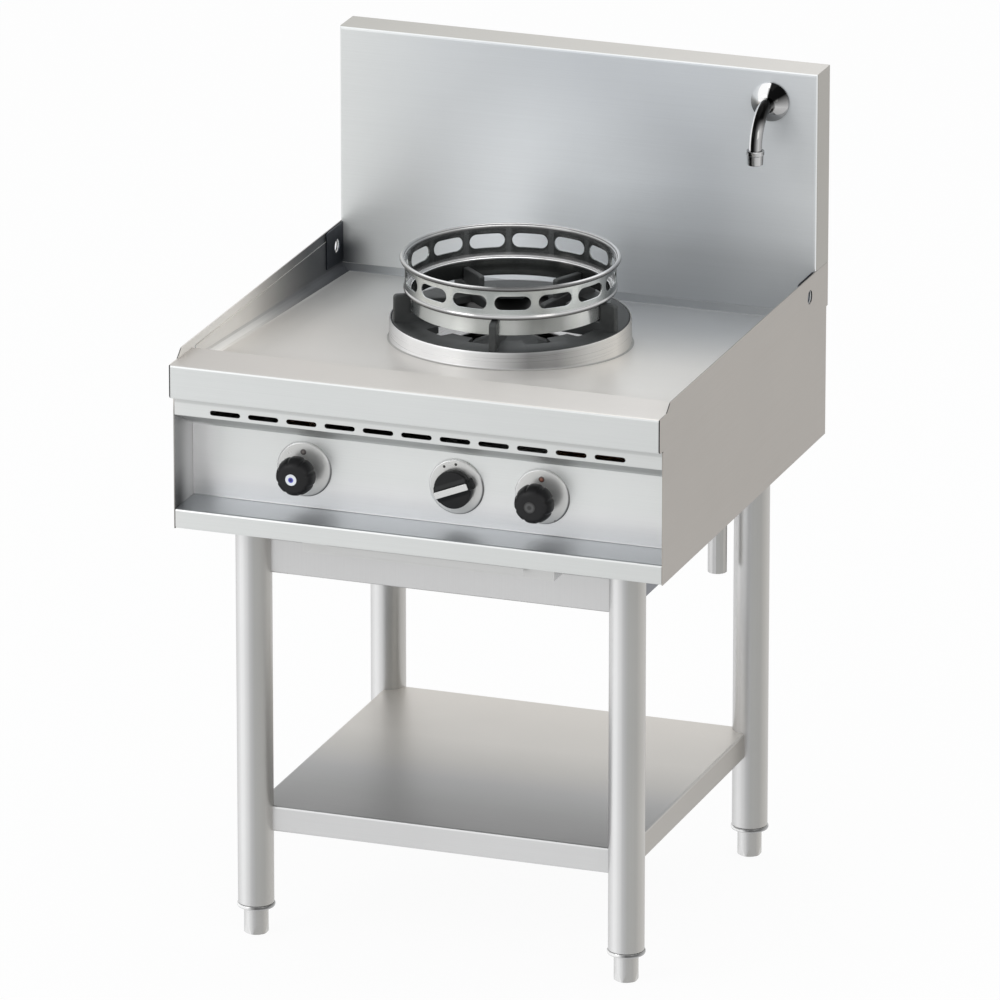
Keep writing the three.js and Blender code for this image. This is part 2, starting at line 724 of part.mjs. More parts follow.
// Burner: one casting of body, neck and mixing tube on a bracket, with a head that has side ports.
const castingTop = collarTop - bowlDepth - 4
const castingBottom = castingTop - castingHeight
const casting = turned([[0, castingBottom], [neckRadius, castingBottom],
  [neckRadius, castingBottom + neckHeight], [castingRadius, castingTop - 5],
  [castingRadius, castingTop], [0, castingTop]]).translate([0, burnerY, 0])
const mixerLevel = castingBottom + neckHeight / 2
const mixerFront = burnerY - neckRadius - mixerLength
const mixerProfile = (radius, back, front) => [[0, back], [radius, back],
  [radius, mixerFront + mixerBell], [radius + mixerFlare, mixerFront], [radius + mixerFlare, front],
  [0, front]]
const mixer = turnedY(mixerProfile(mixerRadius, burnerY, mixerFront - fit), 0, mixerLevel, smallSides)
const mixerBore = turnedY(mixerProfile(mixerRadius - mixerWall, burnerY - neckRadius / 2, mixerFront - 1),
  0, mixerLevel, smallSides)
add('burner_body', cut(casting.add(mixer), mixerBore), ...iron)

const headBottom = castingTop + fit
const head = turned([[0, headBottom], [headRadius, headBottom], [headRadius, headBottom + 8],
  [headRadius * 0.7, headBottom + headThickness - 3], [12, headBottom + headThickness],
  [0, headBottom + headThickness]], 18)
const ports = around(headPorts, 0, (angle) =>
  box(-portWidth / 2, portWidth / 2, headRadius - 6, headRadius + 6, headBottom + 2, headBottom + 2 + portWidth)
    .rotate([0, 0, angle]))
add('burner_head', cut(head, ...ports), ...brass, [0, burnerY, 0])

const injectorTip = mixerFront - injectorGap
const injectorBack = injectorTip - injectorLength
add('injector', turnedY([[0, injectorTip], [injectorRadius / 3, injectorTip],
  [injectorRadius * 0.6, injectorTip - 5], [injectorRadius, injectorTip - 6],
  [injectorRadius, injectorBack], [0, injectorBack]], 0, mixerLevel, smallSides), ...brass)

const bracketTop = castingBottom - fit - sheet
const bracketFoot = floorTop + fit
const bracketHalf = mouthWidth / 2 + bracketOverlap
const bracket = alongY(folded([[-bracketHalf - bracketFlange, bracketFoot], [-bracketHalf, bracketFoot],
  [-bracketHalf, bracketTop], [bracketHalf, bracketTop], [bracketHalf, bracketFoot],
  [bracketHalf + bracketFlange, bracketFoot]], sheet), burnerY - bracketDepth / 2, burnerY + bracketDepth / 2)
add('burner_bracket', bracket, ...satin)

const pilotX = castingRadius + pilotGap
add('pilot', joined(rod(pilotX, burnerY, bracketTop + sheet + fit, headBottom + 6, 3.5, 12),
  rod(pilotX, burnerY, bracketTop + sheet + fit, bracketTop + sheet + fit + 8, 6, 6)), ...brass)

// ---------------------------------------------------------------- controls

function valve(x, portY, up) {
  const front = panelBack + fit
  const body = turnedY([[0, front], [valveRadius, front], [valveRadius, front + valveLength - 8],
    [valveRadius - 6, front + valveLength], [0, front + valveLength]], x, controlLevel, smallSides)
  const lower = rod(x, portY, controlLevel - portReach, controlLevel, portRadius, 10)
  const upper = rod(x, portY, controlLevel, controlLevel + portReach, portRadius, 10)
  const bore = rodY(x, controlLevel, front - 1, front + spindleLength / 2 + pushTravel,
    spindleRadius + fit, 12)
  return cut(up ? joined(body, lower, upper) : body.add(lower), bore)
}
add('water_valve_left', valve(leftTapX, waterPortY, true), ...brass)
add('water_valve_right', valve(rightTapX, waterPortY, true), ...brass)
add('gas_valve', valve(gasTapX, gasPortY, false), ...brass)

for (const [x, name] of [[leftTapX, 'bezel_left'], [gasTapX, 'bezel_gas'], [rightTapX, 'bezel_right']]) {
  const back = panelFace - fit
  add(name, turnedY([[bezelBore, back], [bezelRadius, back], [bezelRadius, bezelFace + bezelBevel],
    [bezelRadius - bezelBevel, bezelFace], [bezelBore, bezelFace]], x, controlLevel, 20), ...bright)
}

// Lobed hand wheel of a water tap, its outline a circle with a ripple.
const lobePoints = lobeCount * 4
const lobed = new THREE.Shape(Array.from({ length: lobePoints }, (_, i) => {
  const angle = (2 * Math.PI * i) / lobePoints
  const radius = knobRadius - lobeDepth * (0.5 - 0.5 * Math.cos(lobeCount * angle))
  return new THREE.Vector2(Math.cos(angle), Math.sin(angle)).multiplyScalar(radius)
}))
const tapFace = panelFace - tapKnobFront
const spindleFront = tapFace + 8
for (const [x, side] of [[leftTapX, 'left'], [rightTapX, 'right']]) {
  const wheel = alongY(lobed, tapFace, tapFace + tapKnobThickness).translate([x, 0, controlLevel])
  const hub = turnedY([[0, tapFace + tapKnobThickness - 1], [hubRadius + 4, tapFace + tapKnobThickness - 1],
    [hubRadius, tapFace + tapKnobThickness + 4], [hubRadius, bezelFace - fit], [0, bezelFace - fit]],
  x, controlLevel, 16)
  const socket = rodY(x, controlLevel, spindleFront - fit, bezelFace + 1, spindleRadius + fit, 12)
  add(`water_knob_${side}`, cut(wheel.add(hub), socket), ...black)
  add(`water_spindle_${side}`, rodY(x, controlLevel, spindleFront, panelBack + spindleLength / 2,
    spindleRadius, 12), ...brass)
  add(`knob_cap_${side}`, turnedY([[0, tapFace - fit], [capRadius, tapFace - fit],
    [capRadius, tapFace - capThickness + 1.2], [capRadius - 1.2, tapFace - capThickness],
    [0, tapFace - capThickness]], x, controlLevel, smallSides), side === 'left' ? 0xd8d9d8 : 0x4a4b4c, 0.4, 0)
}

// Gas knob: a disc with a raised bar, pushed in against the valve spring and turned.
const gasFace = panelFace - gasKnobFront
const gasSpindleFront = gasFace + 3
const gasDisc = turnedY([[0, gasFace], [knobRadius - 1.5, gasFace], [knobRadius, gasFace + 1.5],
  [knobRadius, gasFace + gasKnobThickness], [0, gasFace + gasKnobThickness]], gasTapX, controlLevel, 24)
const gasSocket = rodY(gasTapX, controlLevel, gasSpindleFront - fit, panelBack, spindleRadius + fit, 12)
add('gas_knob', cut(gasDisc, gasSocket), ...black)
add('gas_spindle', rodY(gasTapX, controlLevel, gasSpindleFront, panelBack + spindleLength / 2 - pushTravel,
  spindleRadius, 12), ...brass)
add('knob_bar', alongY(rectangle(-barLength / 2, barLength / 2, -barWidth / 2, barWidth / 2, 2.5),
  gasFace - fit - barHeight, gasFace - fit).rotate([0, -barTurn, 0])
  .translate([gasTapX, 0, controlLevel]), ...bright)

// ---------------------------------------------------------------- pipes

const portBottom = controlLevel - portReach - fit
const portTop = controlLevel + portReach + fit
const inletEnd = bodyRear + inletReach
const supply = piped([[waterInletX, inletEnd, waterLevel], [waterInletX, waterPortY, waterLevel],
  [rightTapX, waterPortY, waterLevel], [rightTapX, waterPortY, portBottom]], pipeRadius, 8)
const tee = rod(leftTapX, waterPortY, waterLevel, portBottom, pipeRadius, 12)
add('water_pipe', supply.add(tee), ...copper)

add('gas_inlet_pipe', piped([[gasInletX, inletEnd, gasLevel], [gasInletX, gasPortY, gasLevel],
  [gasTapX, gasPortY, gasLevel], [gasTapX, gasPortY, portBottom]], pipeRadius, 10), ...copper)

const valveEnd = panelBack + fit + valveLength + fit
const feedTurn = valveEnd + 24
add('gas_feed_pipe', piped([[gasTapX, valveEnd, controlLevel], [gasTapX, feedTurn, controlLevel],
  [gasTapX, feedTurn, mixerLevel], [0, feedTurn, mixerLevel], [0, injectorBack - fit, mixerLevel]],
5, 9), ...copper)

const riserY = splashFront + splashDepth / 2
add('spout_riser', piped([[rightTapX, waterPortY, portTop], [rightTapX, waterPortY, riserLevel],
  [spoutX, waterPortY, riserLevel], [spoutX, riserY, riserLevel], [spoutX, riserY, spoutLevel],
  [spoutX, splashFront + sheet + fit, spoutLevel]], pipeRadius, pipeBend - 2), ...copper)

const coolingLevel = guardTop - 30
add('cooling_pipe', piped([[leftTapX, waterPortY, portTop], [leftTapX, waterPortY, riserLevel],
  [coolingX, waterPortY, riserLevel], [coolingX, riserY, riserLevel], [coolingX, riserY, coolingLevel],
  [-coolingX, riserY, coolingLevel]], pipeRadius, pipeBend - 2), ...copper)

// ---------------------------------------------------------------- spout

const rosetteBack = splashFront - fit
add('rosette', turnedY([[spoutRadius + fit, rosetteBack], [rosetteRadius, rosetteBack],
  [rosetteRadius, rosetteBack - 3], [spoutRadius + 4, rosetteBack - rosetteDepth],
  [spoutRadius + fit, rosetteBack - rosetteDepth]], spoutX, spoutLevel, 18), ...bright)

const spoutEndY = splashFront - spoutReach
const spoutTube = piped([[spoutX, splashFront + sheet, spoutLevel], [spoutX, spoutEndY, spoutLevel],
  [spoutX, spoutEndY, nozzleTop + fit]], spoutRadius, spoutBend, 12)
const spoutTip = rod(spoutX, spoutEndY, nozzleTop - nozzleSeat + 2, nozzleTop + 2, spoutRadius - 1, 12)
const spoutBore = rod(spoutX, spoutEndY, nozzleTop - nozzleSeat - 1, nozzleTop + 6, spoutRadius - 2.5, 12)
add('spout', cut(spoutTube.add(spoutTip), spoutBore), ...bright)

add('nozzle', turned([[spoutRadius - 1 + fit, nozzleTop], [nozzleRadius, nozzleTop],
  [nozzleRadius, nozzleTop - nozzleCollar], [nozzleRadius - 1, nozzleTop - nozzleCollar - 1],
  [nozzleRadius - 1, nozzleBottom], [nozzleRadius - 3.5, nozzleBottom],
  [nozzleRadius - 3.5, nozzleTop - nozzleSeat], [spoutRadius - 1 + fit, nozzleTop - nozzleSeat]], smallSides),
...bright,
[spoutX, spoutEndY, 0])

// ---------------------------------------------------------------- drain and drip tray

// Slab that lies on the deck at the strainer, from low to high over the sheet's face.
const overDeck = (low, high) => box(-2 * strainerRadius, 2 * strainerRadius, -2 * strainerRadius,
  2 * strainerRadius, low, high)
  .rotate([-THREE.MathUtils.radToDeg(deckAngle), 0, 0])
  .translate([strainerX, strainerY, deckLevel(strainerY)])
const upright = (radius, sides, x = strainerX, y = strainerY) =>
  rod(x, y, deckRear - 2 * strainerDepth, deckFront + strainerDepth, radius, sides)

const pipeTop = deckLevel(strainerY) - strainerDepth
const tailRadius = drainRadius - drainWall - 1
const cup = turned([[tailRadius - strainerWall, pipeTop - strainerTail], [tailRadius, pipeTop - strainerTail],
  [tailRadius, pipeTop], [drainRadius, pipeTop], [strainerCup, pipeTop + strainerCone],
  [strainerCup, deckFront], [strainerCup - strainerWall, deckFront],
  [strainerCup - strainerWall, pipeTop + strainerCone], [tailRadius - strainerWall, pipeTop + strainerWall]],
smallSides).translate([strainerX, strainerY, 0]).subtract(overDeck(fit + sheet, 3 * strainerDepth))
const strainerFlange = cut(overDeck(fit, fit + sheet).intersect(upright(strainerRadius, smallSides)),
  upright(strainerCup - strainerWall / 2, smallSides))
const plate = overDeck(-2 * sheet, -sheet).intersect(upright(strainerCup - strainerWall / 2, smallSides))
const sieve = around(sieveHoles, 0, (angle) => {
  const turn = THREE.MathUtils.degToRad(angle)
  return upright(strainerCup / 6, 6, strainerX + strainerCup * 0.55 * Math.cos(turn),
    strainerY + strainerCup * 0.55 * Math.sin(turn))
})
add('drain_strainer', joined(cup, strainerFlange, cut(plate, upright(strainerCup / 6, 6), ...sieve)), ...bright)

// Drain: an elbow from the strainer over to the right, then a straight pipe down through the floor.
const elbow = (radius, lead) => piped([[strainerX, strainerY, pipeTop - fit + lead],
  [strainerX, strainerY, drainCross + drainFall / 2], [drainX, drainY, drainCross - drainFall / 2],
  [drainX, drainY, drainJoint - lead]], radius, drainBend, 8)
add('drain_elbow', cut(elbow(drainRadius, 0), elbow(drainRadius - drainWall, 1)), ...satin)
add('drain_pipe', cut(rod(drainX, drainY, drainBottom, drainJoint - fit, drainRadius, 16),
  rod(drainX, drainY, drainBottom - 1, drainJoint + 1, drainRadius - drainWall, 16)), ...satin)

// Drip tray: folded pan hung by its side lips, pulled out to the front.
const trayFront = bodyFront + trayInset
const trayRear = trayFront + trayDepth
const trayHalf = trayWidth / 2
const trayTop = trayBottom + trayHeight
const pan = cut(box(-trayHalf, trayHalf, trayFront, trayRear, trayBottom, trayTop),
  box(-trayHalf + traySheet, trayHalf - traySheet, trayFront + traySheet, trayRear - traySheet,
    trayBottom + traySheet, trayTop + 1))
const lips = [-1, 1].map((side) => {
  const [near, far] = [side * (trayHalf - traySheet / 2), side * (trayHalf + trayLip)]
  return box(Math.min(near, far), Math.max(near, far), trayFront, trayRear, trayTop - traySheet, trayTop)
})
const pull = alongX(folded([[trayFront, trayTop - traySheet], [trayFront - 12, trayTop - traySheet],
  [trayFront - 12, trayTop - 12]], traySheet, 1), -trayHalf + 40, trayHalf - 40)
add('drip_tray', joined(pan, ...lips, pull), ...steel)

for (const [side, name] of [[-1, 'tray_runner_left'], [1, 'tray_runner_right']]) {
  const web = side * (trayHalf + trayLip + 1 + sheet)
  const nearEdge = side * (trayHalf + 3)
  const shelfTop = trayTop - traySheet - fit
  const path = [[nearEdge, shelfTop - sheet], [web, shelfTop - sheet], [web, bodyBottom - fit],
    [web - side * 14, bodyBottom - fit]]
  const shape = folded(side > 0 ? path : path.reverse(), sheet, 0.5)
  add(name, alongY(shape, trayFront + 4, trayRear + 4), ...satin)
}

export default range
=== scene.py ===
"""Wok range: materials, fine turned pieces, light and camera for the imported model."""

import math

import bmesh
import bpy
from mathutils import Matrix, Vector


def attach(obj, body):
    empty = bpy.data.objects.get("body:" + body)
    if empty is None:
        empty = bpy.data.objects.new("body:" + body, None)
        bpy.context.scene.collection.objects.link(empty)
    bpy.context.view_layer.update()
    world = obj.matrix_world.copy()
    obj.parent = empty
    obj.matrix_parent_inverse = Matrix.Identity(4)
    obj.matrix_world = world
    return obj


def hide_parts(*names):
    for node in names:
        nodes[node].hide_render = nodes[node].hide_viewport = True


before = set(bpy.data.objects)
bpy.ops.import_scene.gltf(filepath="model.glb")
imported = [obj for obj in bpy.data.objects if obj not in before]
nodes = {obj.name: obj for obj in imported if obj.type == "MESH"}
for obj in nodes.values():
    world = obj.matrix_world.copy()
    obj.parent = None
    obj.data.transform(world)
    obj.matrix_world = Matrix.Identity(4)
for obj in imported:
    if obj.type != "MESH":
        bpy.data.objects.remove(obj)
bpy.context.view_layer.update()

MM = 0.001
TINY = 1e-6

# ------------------------------------------------------------------ sizes, mm, as in the model

FRONT, REAR = -354.0, 354.0
HEIGHT = 1136.5
SHEET, FIT = 1.5, 0.3

# Body: the panel is recessed behind the ledge, and the deck falls from the strip to the rear.
BODY_BOTTOM = 604.7
APRON_LEAD, REAR_STEP = 14.6, 5.9
RECESS_DEPTH, SPLASH_DEPTH = 67.1, 53.1
BODY_FRONT = FRONT + APRON_LEAD
PANEL = BODY_FRONT + RECESS_DEPTH
SPLASH = REAR - SPLASH_DEPTH
WORKTOP = 841.4
STRIP_DEPTH, STEP_RUN = 84, 8
DECK_DROP, DECK_FALL = 24, 35.4
DECK_START = FRONT + STRIP_DEPTH + STEP_RUN
DECK_END = SPLASH - FIT - SHEET
DECK_TOP = WORKTOP - DECK_DROP
DECK_SLOPE = DECK_FALL / (DECK_END - DECK_START)
BURNER_Y = FRONT + 386
BURNER = (0, BURNER_Y, 0)

# Controls: a face is the place of a front, along Y.
CONTROL_Z = 687.3
MARK_Z = CONTROL_Z + 25
TAPS = {"left": -186.3, "right": 155.6}
GAS_X = 33.0
TAP_FACE = PANEL - 43
GAS_FACE = PANEL - 14
BEZEL_FACE = PANEL - FIT - 3.5

# Stand
LEG_X = 269.4
LEG_Y = {"front": BODY_FRONT + 89.4, "rear": REAR - REAR_STEP - 75.9}
LEG_RADIUS = 25
LEG_BOTTOM, LEG_TOP = 44.7, BODY_BOTTOM - FIT
PLATE_HALF, PLATE_THICKNESS, PLATE_CORNER = 28, 3, 4
RAIL_BOTTOM, RAIL_TOP, RAIL_DEPTH = 524.5, 574.5, 20

# Spout
SPOUT_X, SPOUT_Z = 282.0, HEIGHT - 44.9
SPOUT_Y = SPLASH - 64
SPOUT_RADIUS, SPOUT_BEND = 9.2, 50
NOZZLE_TOP = SPOUT_Z - 51.6


def deck_level(y):
    """Height of the deck at y."""
    return DECK_TOP - (y - DECK_START) * DECK_SLOPE


# ------------------------------------------------------------------ materials

# Tones are given as they are seen, 0 to 255. FULL_LIGHT is the tone that part_of leaves as it is.
FULL_LIGHT = 212


def new_material(name):
    mat = bpy.data.materials.new(name)
    mat.use_nodes = True
    tree = mat.node_tree
    return mat, tree, tree.nodes["Principled BSDF"]


def node(tree, kind, **values):
    """New node. A value is set on the property of its name, or else on the input, _ for a space."""
    made = tree.nodes.new(kind)
    for key, value in values.items():
        if hasattr(made, key):
            setattr(made, key, value)
        else:
            made.inputs[key.replace("_", " ")].default_value = value
    return made


def link(tree, out, into):
    tree.links.new(out, into)


def linear(tone):
    v = tone / 255
    return v / 12.92 if v <= 0.04045 else ((v + 0.055) / 1.055) ** 2.4


def shown(*tones):
    """Colour of one tone for a grey, or of three."""
    tones = tones * 3 if len(tones) == 1 else tones
    return tuple(linear(tone) for tone in tones)


def part_of(tone):
    """Factor that takes the full light down to the tone."""
    return (linear(tone) / linear(FULL_LIGHT),) * 3


# Facings, for the rounded edges between them.
FORE, UP, RIGHT = ("Y", -1), ("Z", 1), ("X", 1)


class Surface:
    """Where a point of the piece is, and which way it faces there, for its colour."""

    def __init__(self, tree):
        self.tree = tree
        self.place = node(tree, "ShaderNodeTexCoord")
        self.at = node(tree, "ShaderNodeSeparateXYZ")
        link(tree, self.place.outputs["Object"], self.at.inputs["Vector"])
        self.facing = node(tree, "ShaderNodeSeparateXYZ")
        link(tree, self.place.outputs["Normal"], self.facing.inputs["Vector"])

    def calc(self, operation, a, b=None):
        made = node(self.tree, "ShaderNodeMath", operation=operation)
        for i, value in enumerate((a, b)):
            if value is None:
                continue
            if isinstance(value, (int, float)):
                made.inputs[i].default_value = value
            else:
                link(self.tree, value, made.inputs[i])
        return made.outputs[0]

    def span(self, value, start, end, low=0.0, high=1.0, kind="LINEAR"):
        """The value from start to end, carried over to low to high."""
        made = node(self.tree, "ShaderNodeMapRange", interpolation_type=kind,
            From_Min=start, From_Max=end, To_Min=low, To_Max=high)
        link(self.tree, value, made.inputs["Value"])
        return made.outputs["Result"]

    def between(self, value, start, end):
        """A mask that goes smoothly from 0 at start to 1 at end."""
        return self.span(value, start, end, kind="SMOOTHSTEP")

    def past(self, axis, start, end):
        """A mask by place along an axis, in mm."""
        return self.between(self.at.outputs[axis], start * MM, end * MM)

    def faces(self, axis, start, end):
        """A mask by how far the surface faces along an axis, -1 to 1."""
        return self.between(self.facing.outputs[axis], start, end)

    def edge(self, first, second, start=0.32, end=0.46):
        """A mask on a rounded edge: the product of the two facings is 0.5 in its middle."""
        parts = [self.calc("MULTIPLY", self.facing.outputs[axis], float(sign))
            for axis, sign in (first, second)]
        product = self.calc("MULTIPLY", *(self.calc("MAXIMUM", part, 0.0) for part in parts))
        return self.between(product, start, end)

    def both(self, *masks):
        mask = masks[0]
        for other in masks[1:]:
            mask = self.calc("MULTIPLY", mask, other)
        return mask

    def stops(self, value, marks, scale=1.0, from_tones=shown):
        """Colour along a value, through the marks (value, tone) or (value, red, green, blue); with
        part_of, shares of light for painted shade.
        """
        low, high = marks[0][0] * scale, marks[-1][0] * scale
        ramp = node(self.tree, "ShaderNodeValToRGB")
        elements = ramp.color_ramp.elements
        while len(elements) < len(marks):
            elements.new(1.0)
        for element, (mark, *tones) in zip(elements, marks):
            element.position = (mark * scale - low) / (high - low)
            element.color = (*from_tones(*tones), 1)
        link(self.tree, self.span(value, low, high), ramp.inputs["Fac"])
        return ramp.outputs["Color"]

    def along(self, axis, *marks, from_tones=shown):
        """Colour by place along an axis, in mm."""
        return self.stops(self.at.outputs[axis], marks, MM, from_tones)

    def toward(self, axis, *marks):
        """Colour by how far the surface faces along an axis, -1 to 1."""
        return self.stops(self.facing.outputs[axis], marks)

    def mix(self, mask, a, b, kind="MIX"):
        """Colour a where the mask is 0, and b where it is 1."""
        made = node(self.tree, "ShaderNodeMix", data_type="RGBA", blend_type=kind)
        for socket, value in ((made.inputs[6], a), (made.inputs[7], b)):
            if isinstance(value, tuple):
                socket.default_value = (*value, 1)
            else:
                link(self.tree, value, socket)
        if isinstance(mask, float):
            made.inputs[0].default_value = mask
        else:
            link(self.tree, mask, made.inputs[0])
        return made.outputs[2]

    def times(self, a, b):
        return self.mix(1.0, a, b, "MULTIPLY")

    def scaled(self, color, *levels):
        made = node(self.tree, "ShaderNodeVectorMath", operation="SCALE")
        if isinstance(color, tuple):
            made.inputs[0].default_value = color
        else:
            link(self.tree, color, made.inputs[0])
        link(self.tree, self.both(*levels), made.inputs["Scale"])
        return made.outputs["Vector"]

    def offset(self, centre, axes="XY"):
        """The place from the centre along each axis, in m."""
        return [self.calc("SUBTRACT", self.at.outputs[a], c * MM) for a, c in zip(axes, centre)]

    def reach(self, centre, axes="XY"):
        """Distance from an axis through the centre, in mm."""
        squares = [self.calc("MULTIPLY", p, p) for p in self.offset(centre, axes)]
        return self.calc("MULTIPLY", self.calc("SQRT", self.calc("ADD", *squares)), 1 / MM)

    def inward(self, centre):
        """How far the surface faces an upright axis, -1 outwards to 1 inwards."""
        length = self.calc("MULTIPLY", self.reach(centre), MM)
        towards = [self.calc("MULTIPLY", p, self.facing.outputs[a])
            for p, a in zip(self.offset(centre), "XY")]
        return self.calc("MULTIPLY", self.calc("DIVIDE", self.calc("ADD", *towards), length), -1.0)

    def degrees(self, x, y):
        """Direction of (x, y) from the second axis towards the first."""
        return self.calc("MULTIPLY", self.calc("ARCTAN2", x, y), 180 / math.pi)

    def bearing(self, centre):
        """Direction from an upright axis, in degrees from the front towards +X."""
        x, y = self.offset(centre)
        return self.degrees(x, self.calc("MULTIPLY", y, -1.0))

    def noise(self, scale, detail=3.0, roughness=0.6, stretch=None):
        made = node(self.tree, "ShaderNodeTexNoise",
            Scale=scale, Detail=detail, Roughness=roughness)
        source = self.place.outputs["Object"]
        if stretch:
            mapped = node(self.tree, "ShaderNodeMapping", Scale=stretch)
            link(self.tree, source, mapped.inputs["Vector"])
            source = mapped.outputs["Vector"]
        link(self.tree, source, made.inputs["Vector"])
        return made.outputs["Fac"]

    def spread(self, noise, low, high, start=0.3, end=0.7):
        """Noise, which keeps near its middle, spread from low to high."""
        return self.span(noise, start, end, low, high)

    def painted(self, paint):
        return paint(self) if callable(paint) else paint


def finish(surface, shader, color, rough, relief, strength, depth):
    """Links colour, roughness and relief to the shader; the relief's depth is in m."""
    tree = surface.tree
    link(tree, color, shader.inputs["Base Color"])
    link(tree, rough, shader.inputs["Roughness"])
    bump = node(tree, "ShaderNodeBump", Strength=strength, Distance=depth)
    link(tree, relief, bump.inputs["Height"])
    link(tree, bump.outputs["Normal"], shader.inputs["Normal"])


def metal(name, paint, rough, grain, streak=0.04, bump=0.02, cloud=0.04, metallic=1.0):
    """Brushed metal: fine streaks along one axis in colour, gloss and relief, and a slow cloud."""
    mat, tree, shader = new_material(name)
    shader.inputs["Metallic"].default_value = metallic
    s = Surface(tree)
    lines = s.noise(1.0, stretch=grain)
    slow = s.noise(5.0, 4.0, 0.55)
    color = s.scaled(s.painted(paint), s.spread(lines, 1 - streak / 2, 1 + streak / 2),
        s.spread(slow, 1 - cloud / 2, 1 + cloud / 2))
    gloss = s.spread(lines, rough - 0.04, rough + 0.05)
    finish(s, shader, color, gloss, lines, strength=bump, depth=0.0004)
    return mat


def cast(name, color, rough):
    """Cast iron: dark, with a fine sandy skin and worn, lighter patches."""
    mat, tree, shader = new_material(name)
    shader.inputs["Metallic"].default_value = 0.35
    s = Surface(tree)
    wear = s.noise(26.0, 5.0)
    color = s.scaled(color, s.spread(wear, 0.8, 1.3, 0.35, 0.75))
    gloss = s.spread(wear, rough - 0.12, rough + 0.12, 0, 1)
    finish(s, shader, color, gloss, s.noise(700.0, 4.0), strength=0.25, depth=0.0003)
    return mat


def plastic(name, paint, rough, specular=0.5):
    """Moulded plastic with a faint skin texture and slight unevenness of gloss."""
    mat, tree, shader = new_material(name)
    shader.inputs["Specular IOR Level"].default_value = specular
    s = Surface(tree)
    soft = s.noise(40.0)
    color = s.scaled(s.painted(paint), s.spread(soft, 0.85, 1.15, 0, 1))
    gloss = s.spread(soft, rough - 0.05, rough + 0.08, 0, 1)
    finish(s, shader, color, gloss, s.noise(900.0, 2.0), strength=0.08, depth=0.0002)
    return mat


# Grain of the metals: streaks to the metre along X, Y and Z.
ALONG_X = (4.0, 900.0, 900.0)
ALONG_Y = (900.0, 4.0, 900.0)
ALONG_Z = (700.0, 700.0, 3.0)
TURNED = (4.0, 4.0, 1000.0)
EVEN = (200.0, 200.0, 200.0)
COARSE = (30.0, 30.0, 30.0)

# Painted highlight for rounded edges.
GLINT = shown(238, 240, 240)
CUT_EDGE = shown(46, 47, 50)
# Painted shade of the side sheets' outer faces: warm grey, darker than the front.
SIDE_SHADE = shown(171, 166, 160)


def glinting(s, color, one, other):
    """Painted highlights along two rounded edges."""
    return s.mix(s.calc("MAXIMUM", s.edge(*one), s.edge(*other)), color, GLINT)


def fascia_paint(s):
    """Flange, ledge, recessed panel and vented strip, with painted light and shade: the front
    lighter at the left, painted shade under the strip and below the apron, on the ledge and in the
    cove, painted light low on the panel and at its left end, and a painted highlight on the ledge's
    front edge.
    """
    front = s.along("X", (-350, 222, 223, 222), (-330, 220, 222, 221), (350, 210, 212, 211))
    # Painted shade under the vented strip and below the apron.
    under = s.along("Z", (735, 212), (740, 190), (750, 166), (764, 172), (768, 212), (784, 212),
        (786, 195), (792, 190), from_tones=part_of)
    # Painted light on the panel, low down and at its left end.
    panel = s.along("Z", (636, 252), (655, 236), (687, 225, 227, 226), (740, 221, 223, 222))
    panel = s.mix(s.past("X", -305, -335), panel, shown(254))
    front = s.mix(s.past("Y", PANEL - 20, PANEL - 12), front, panel)
    # The ledge in painted shade, and the cove between ledge and panel darkened as painted shade.
    color = s.mix(s.faces("Z", 0.6, 0.95), s.times(front, under), shown(177, 181, 185))
    cove = s.both(s.edge(FORE, UP, 0.2, 0.42), s.past("Y", PANEL - 12, PANEL - 6))
    color = s.mix(cove, color, shown(180, 182, 184))
    # Painted highlight along the ledge's front edge.
    outer = s.past("Y", BODY_FRONT + 6, BODY_FRONT + 3)
    return s.mix(outer, color, s.mix(s.edge(FORE, UP), color, GLINT))


def guard_tone(s):
    """The left guard and the upstand inside it: painted reflection, bright in front, dark towards
    the splashback.
    """
    return s.along("Y", (-320, 250, 246, 240), (-200, 255, 252, 247), (-112, 253, 249, 243),
        (-56, 236, 232, 226), (0, 194, 190, 185), (56, 154, 152, 149), (112, 116, 115, 114),
        (168, 85, 86, 88), (300, 76, 78, 82))


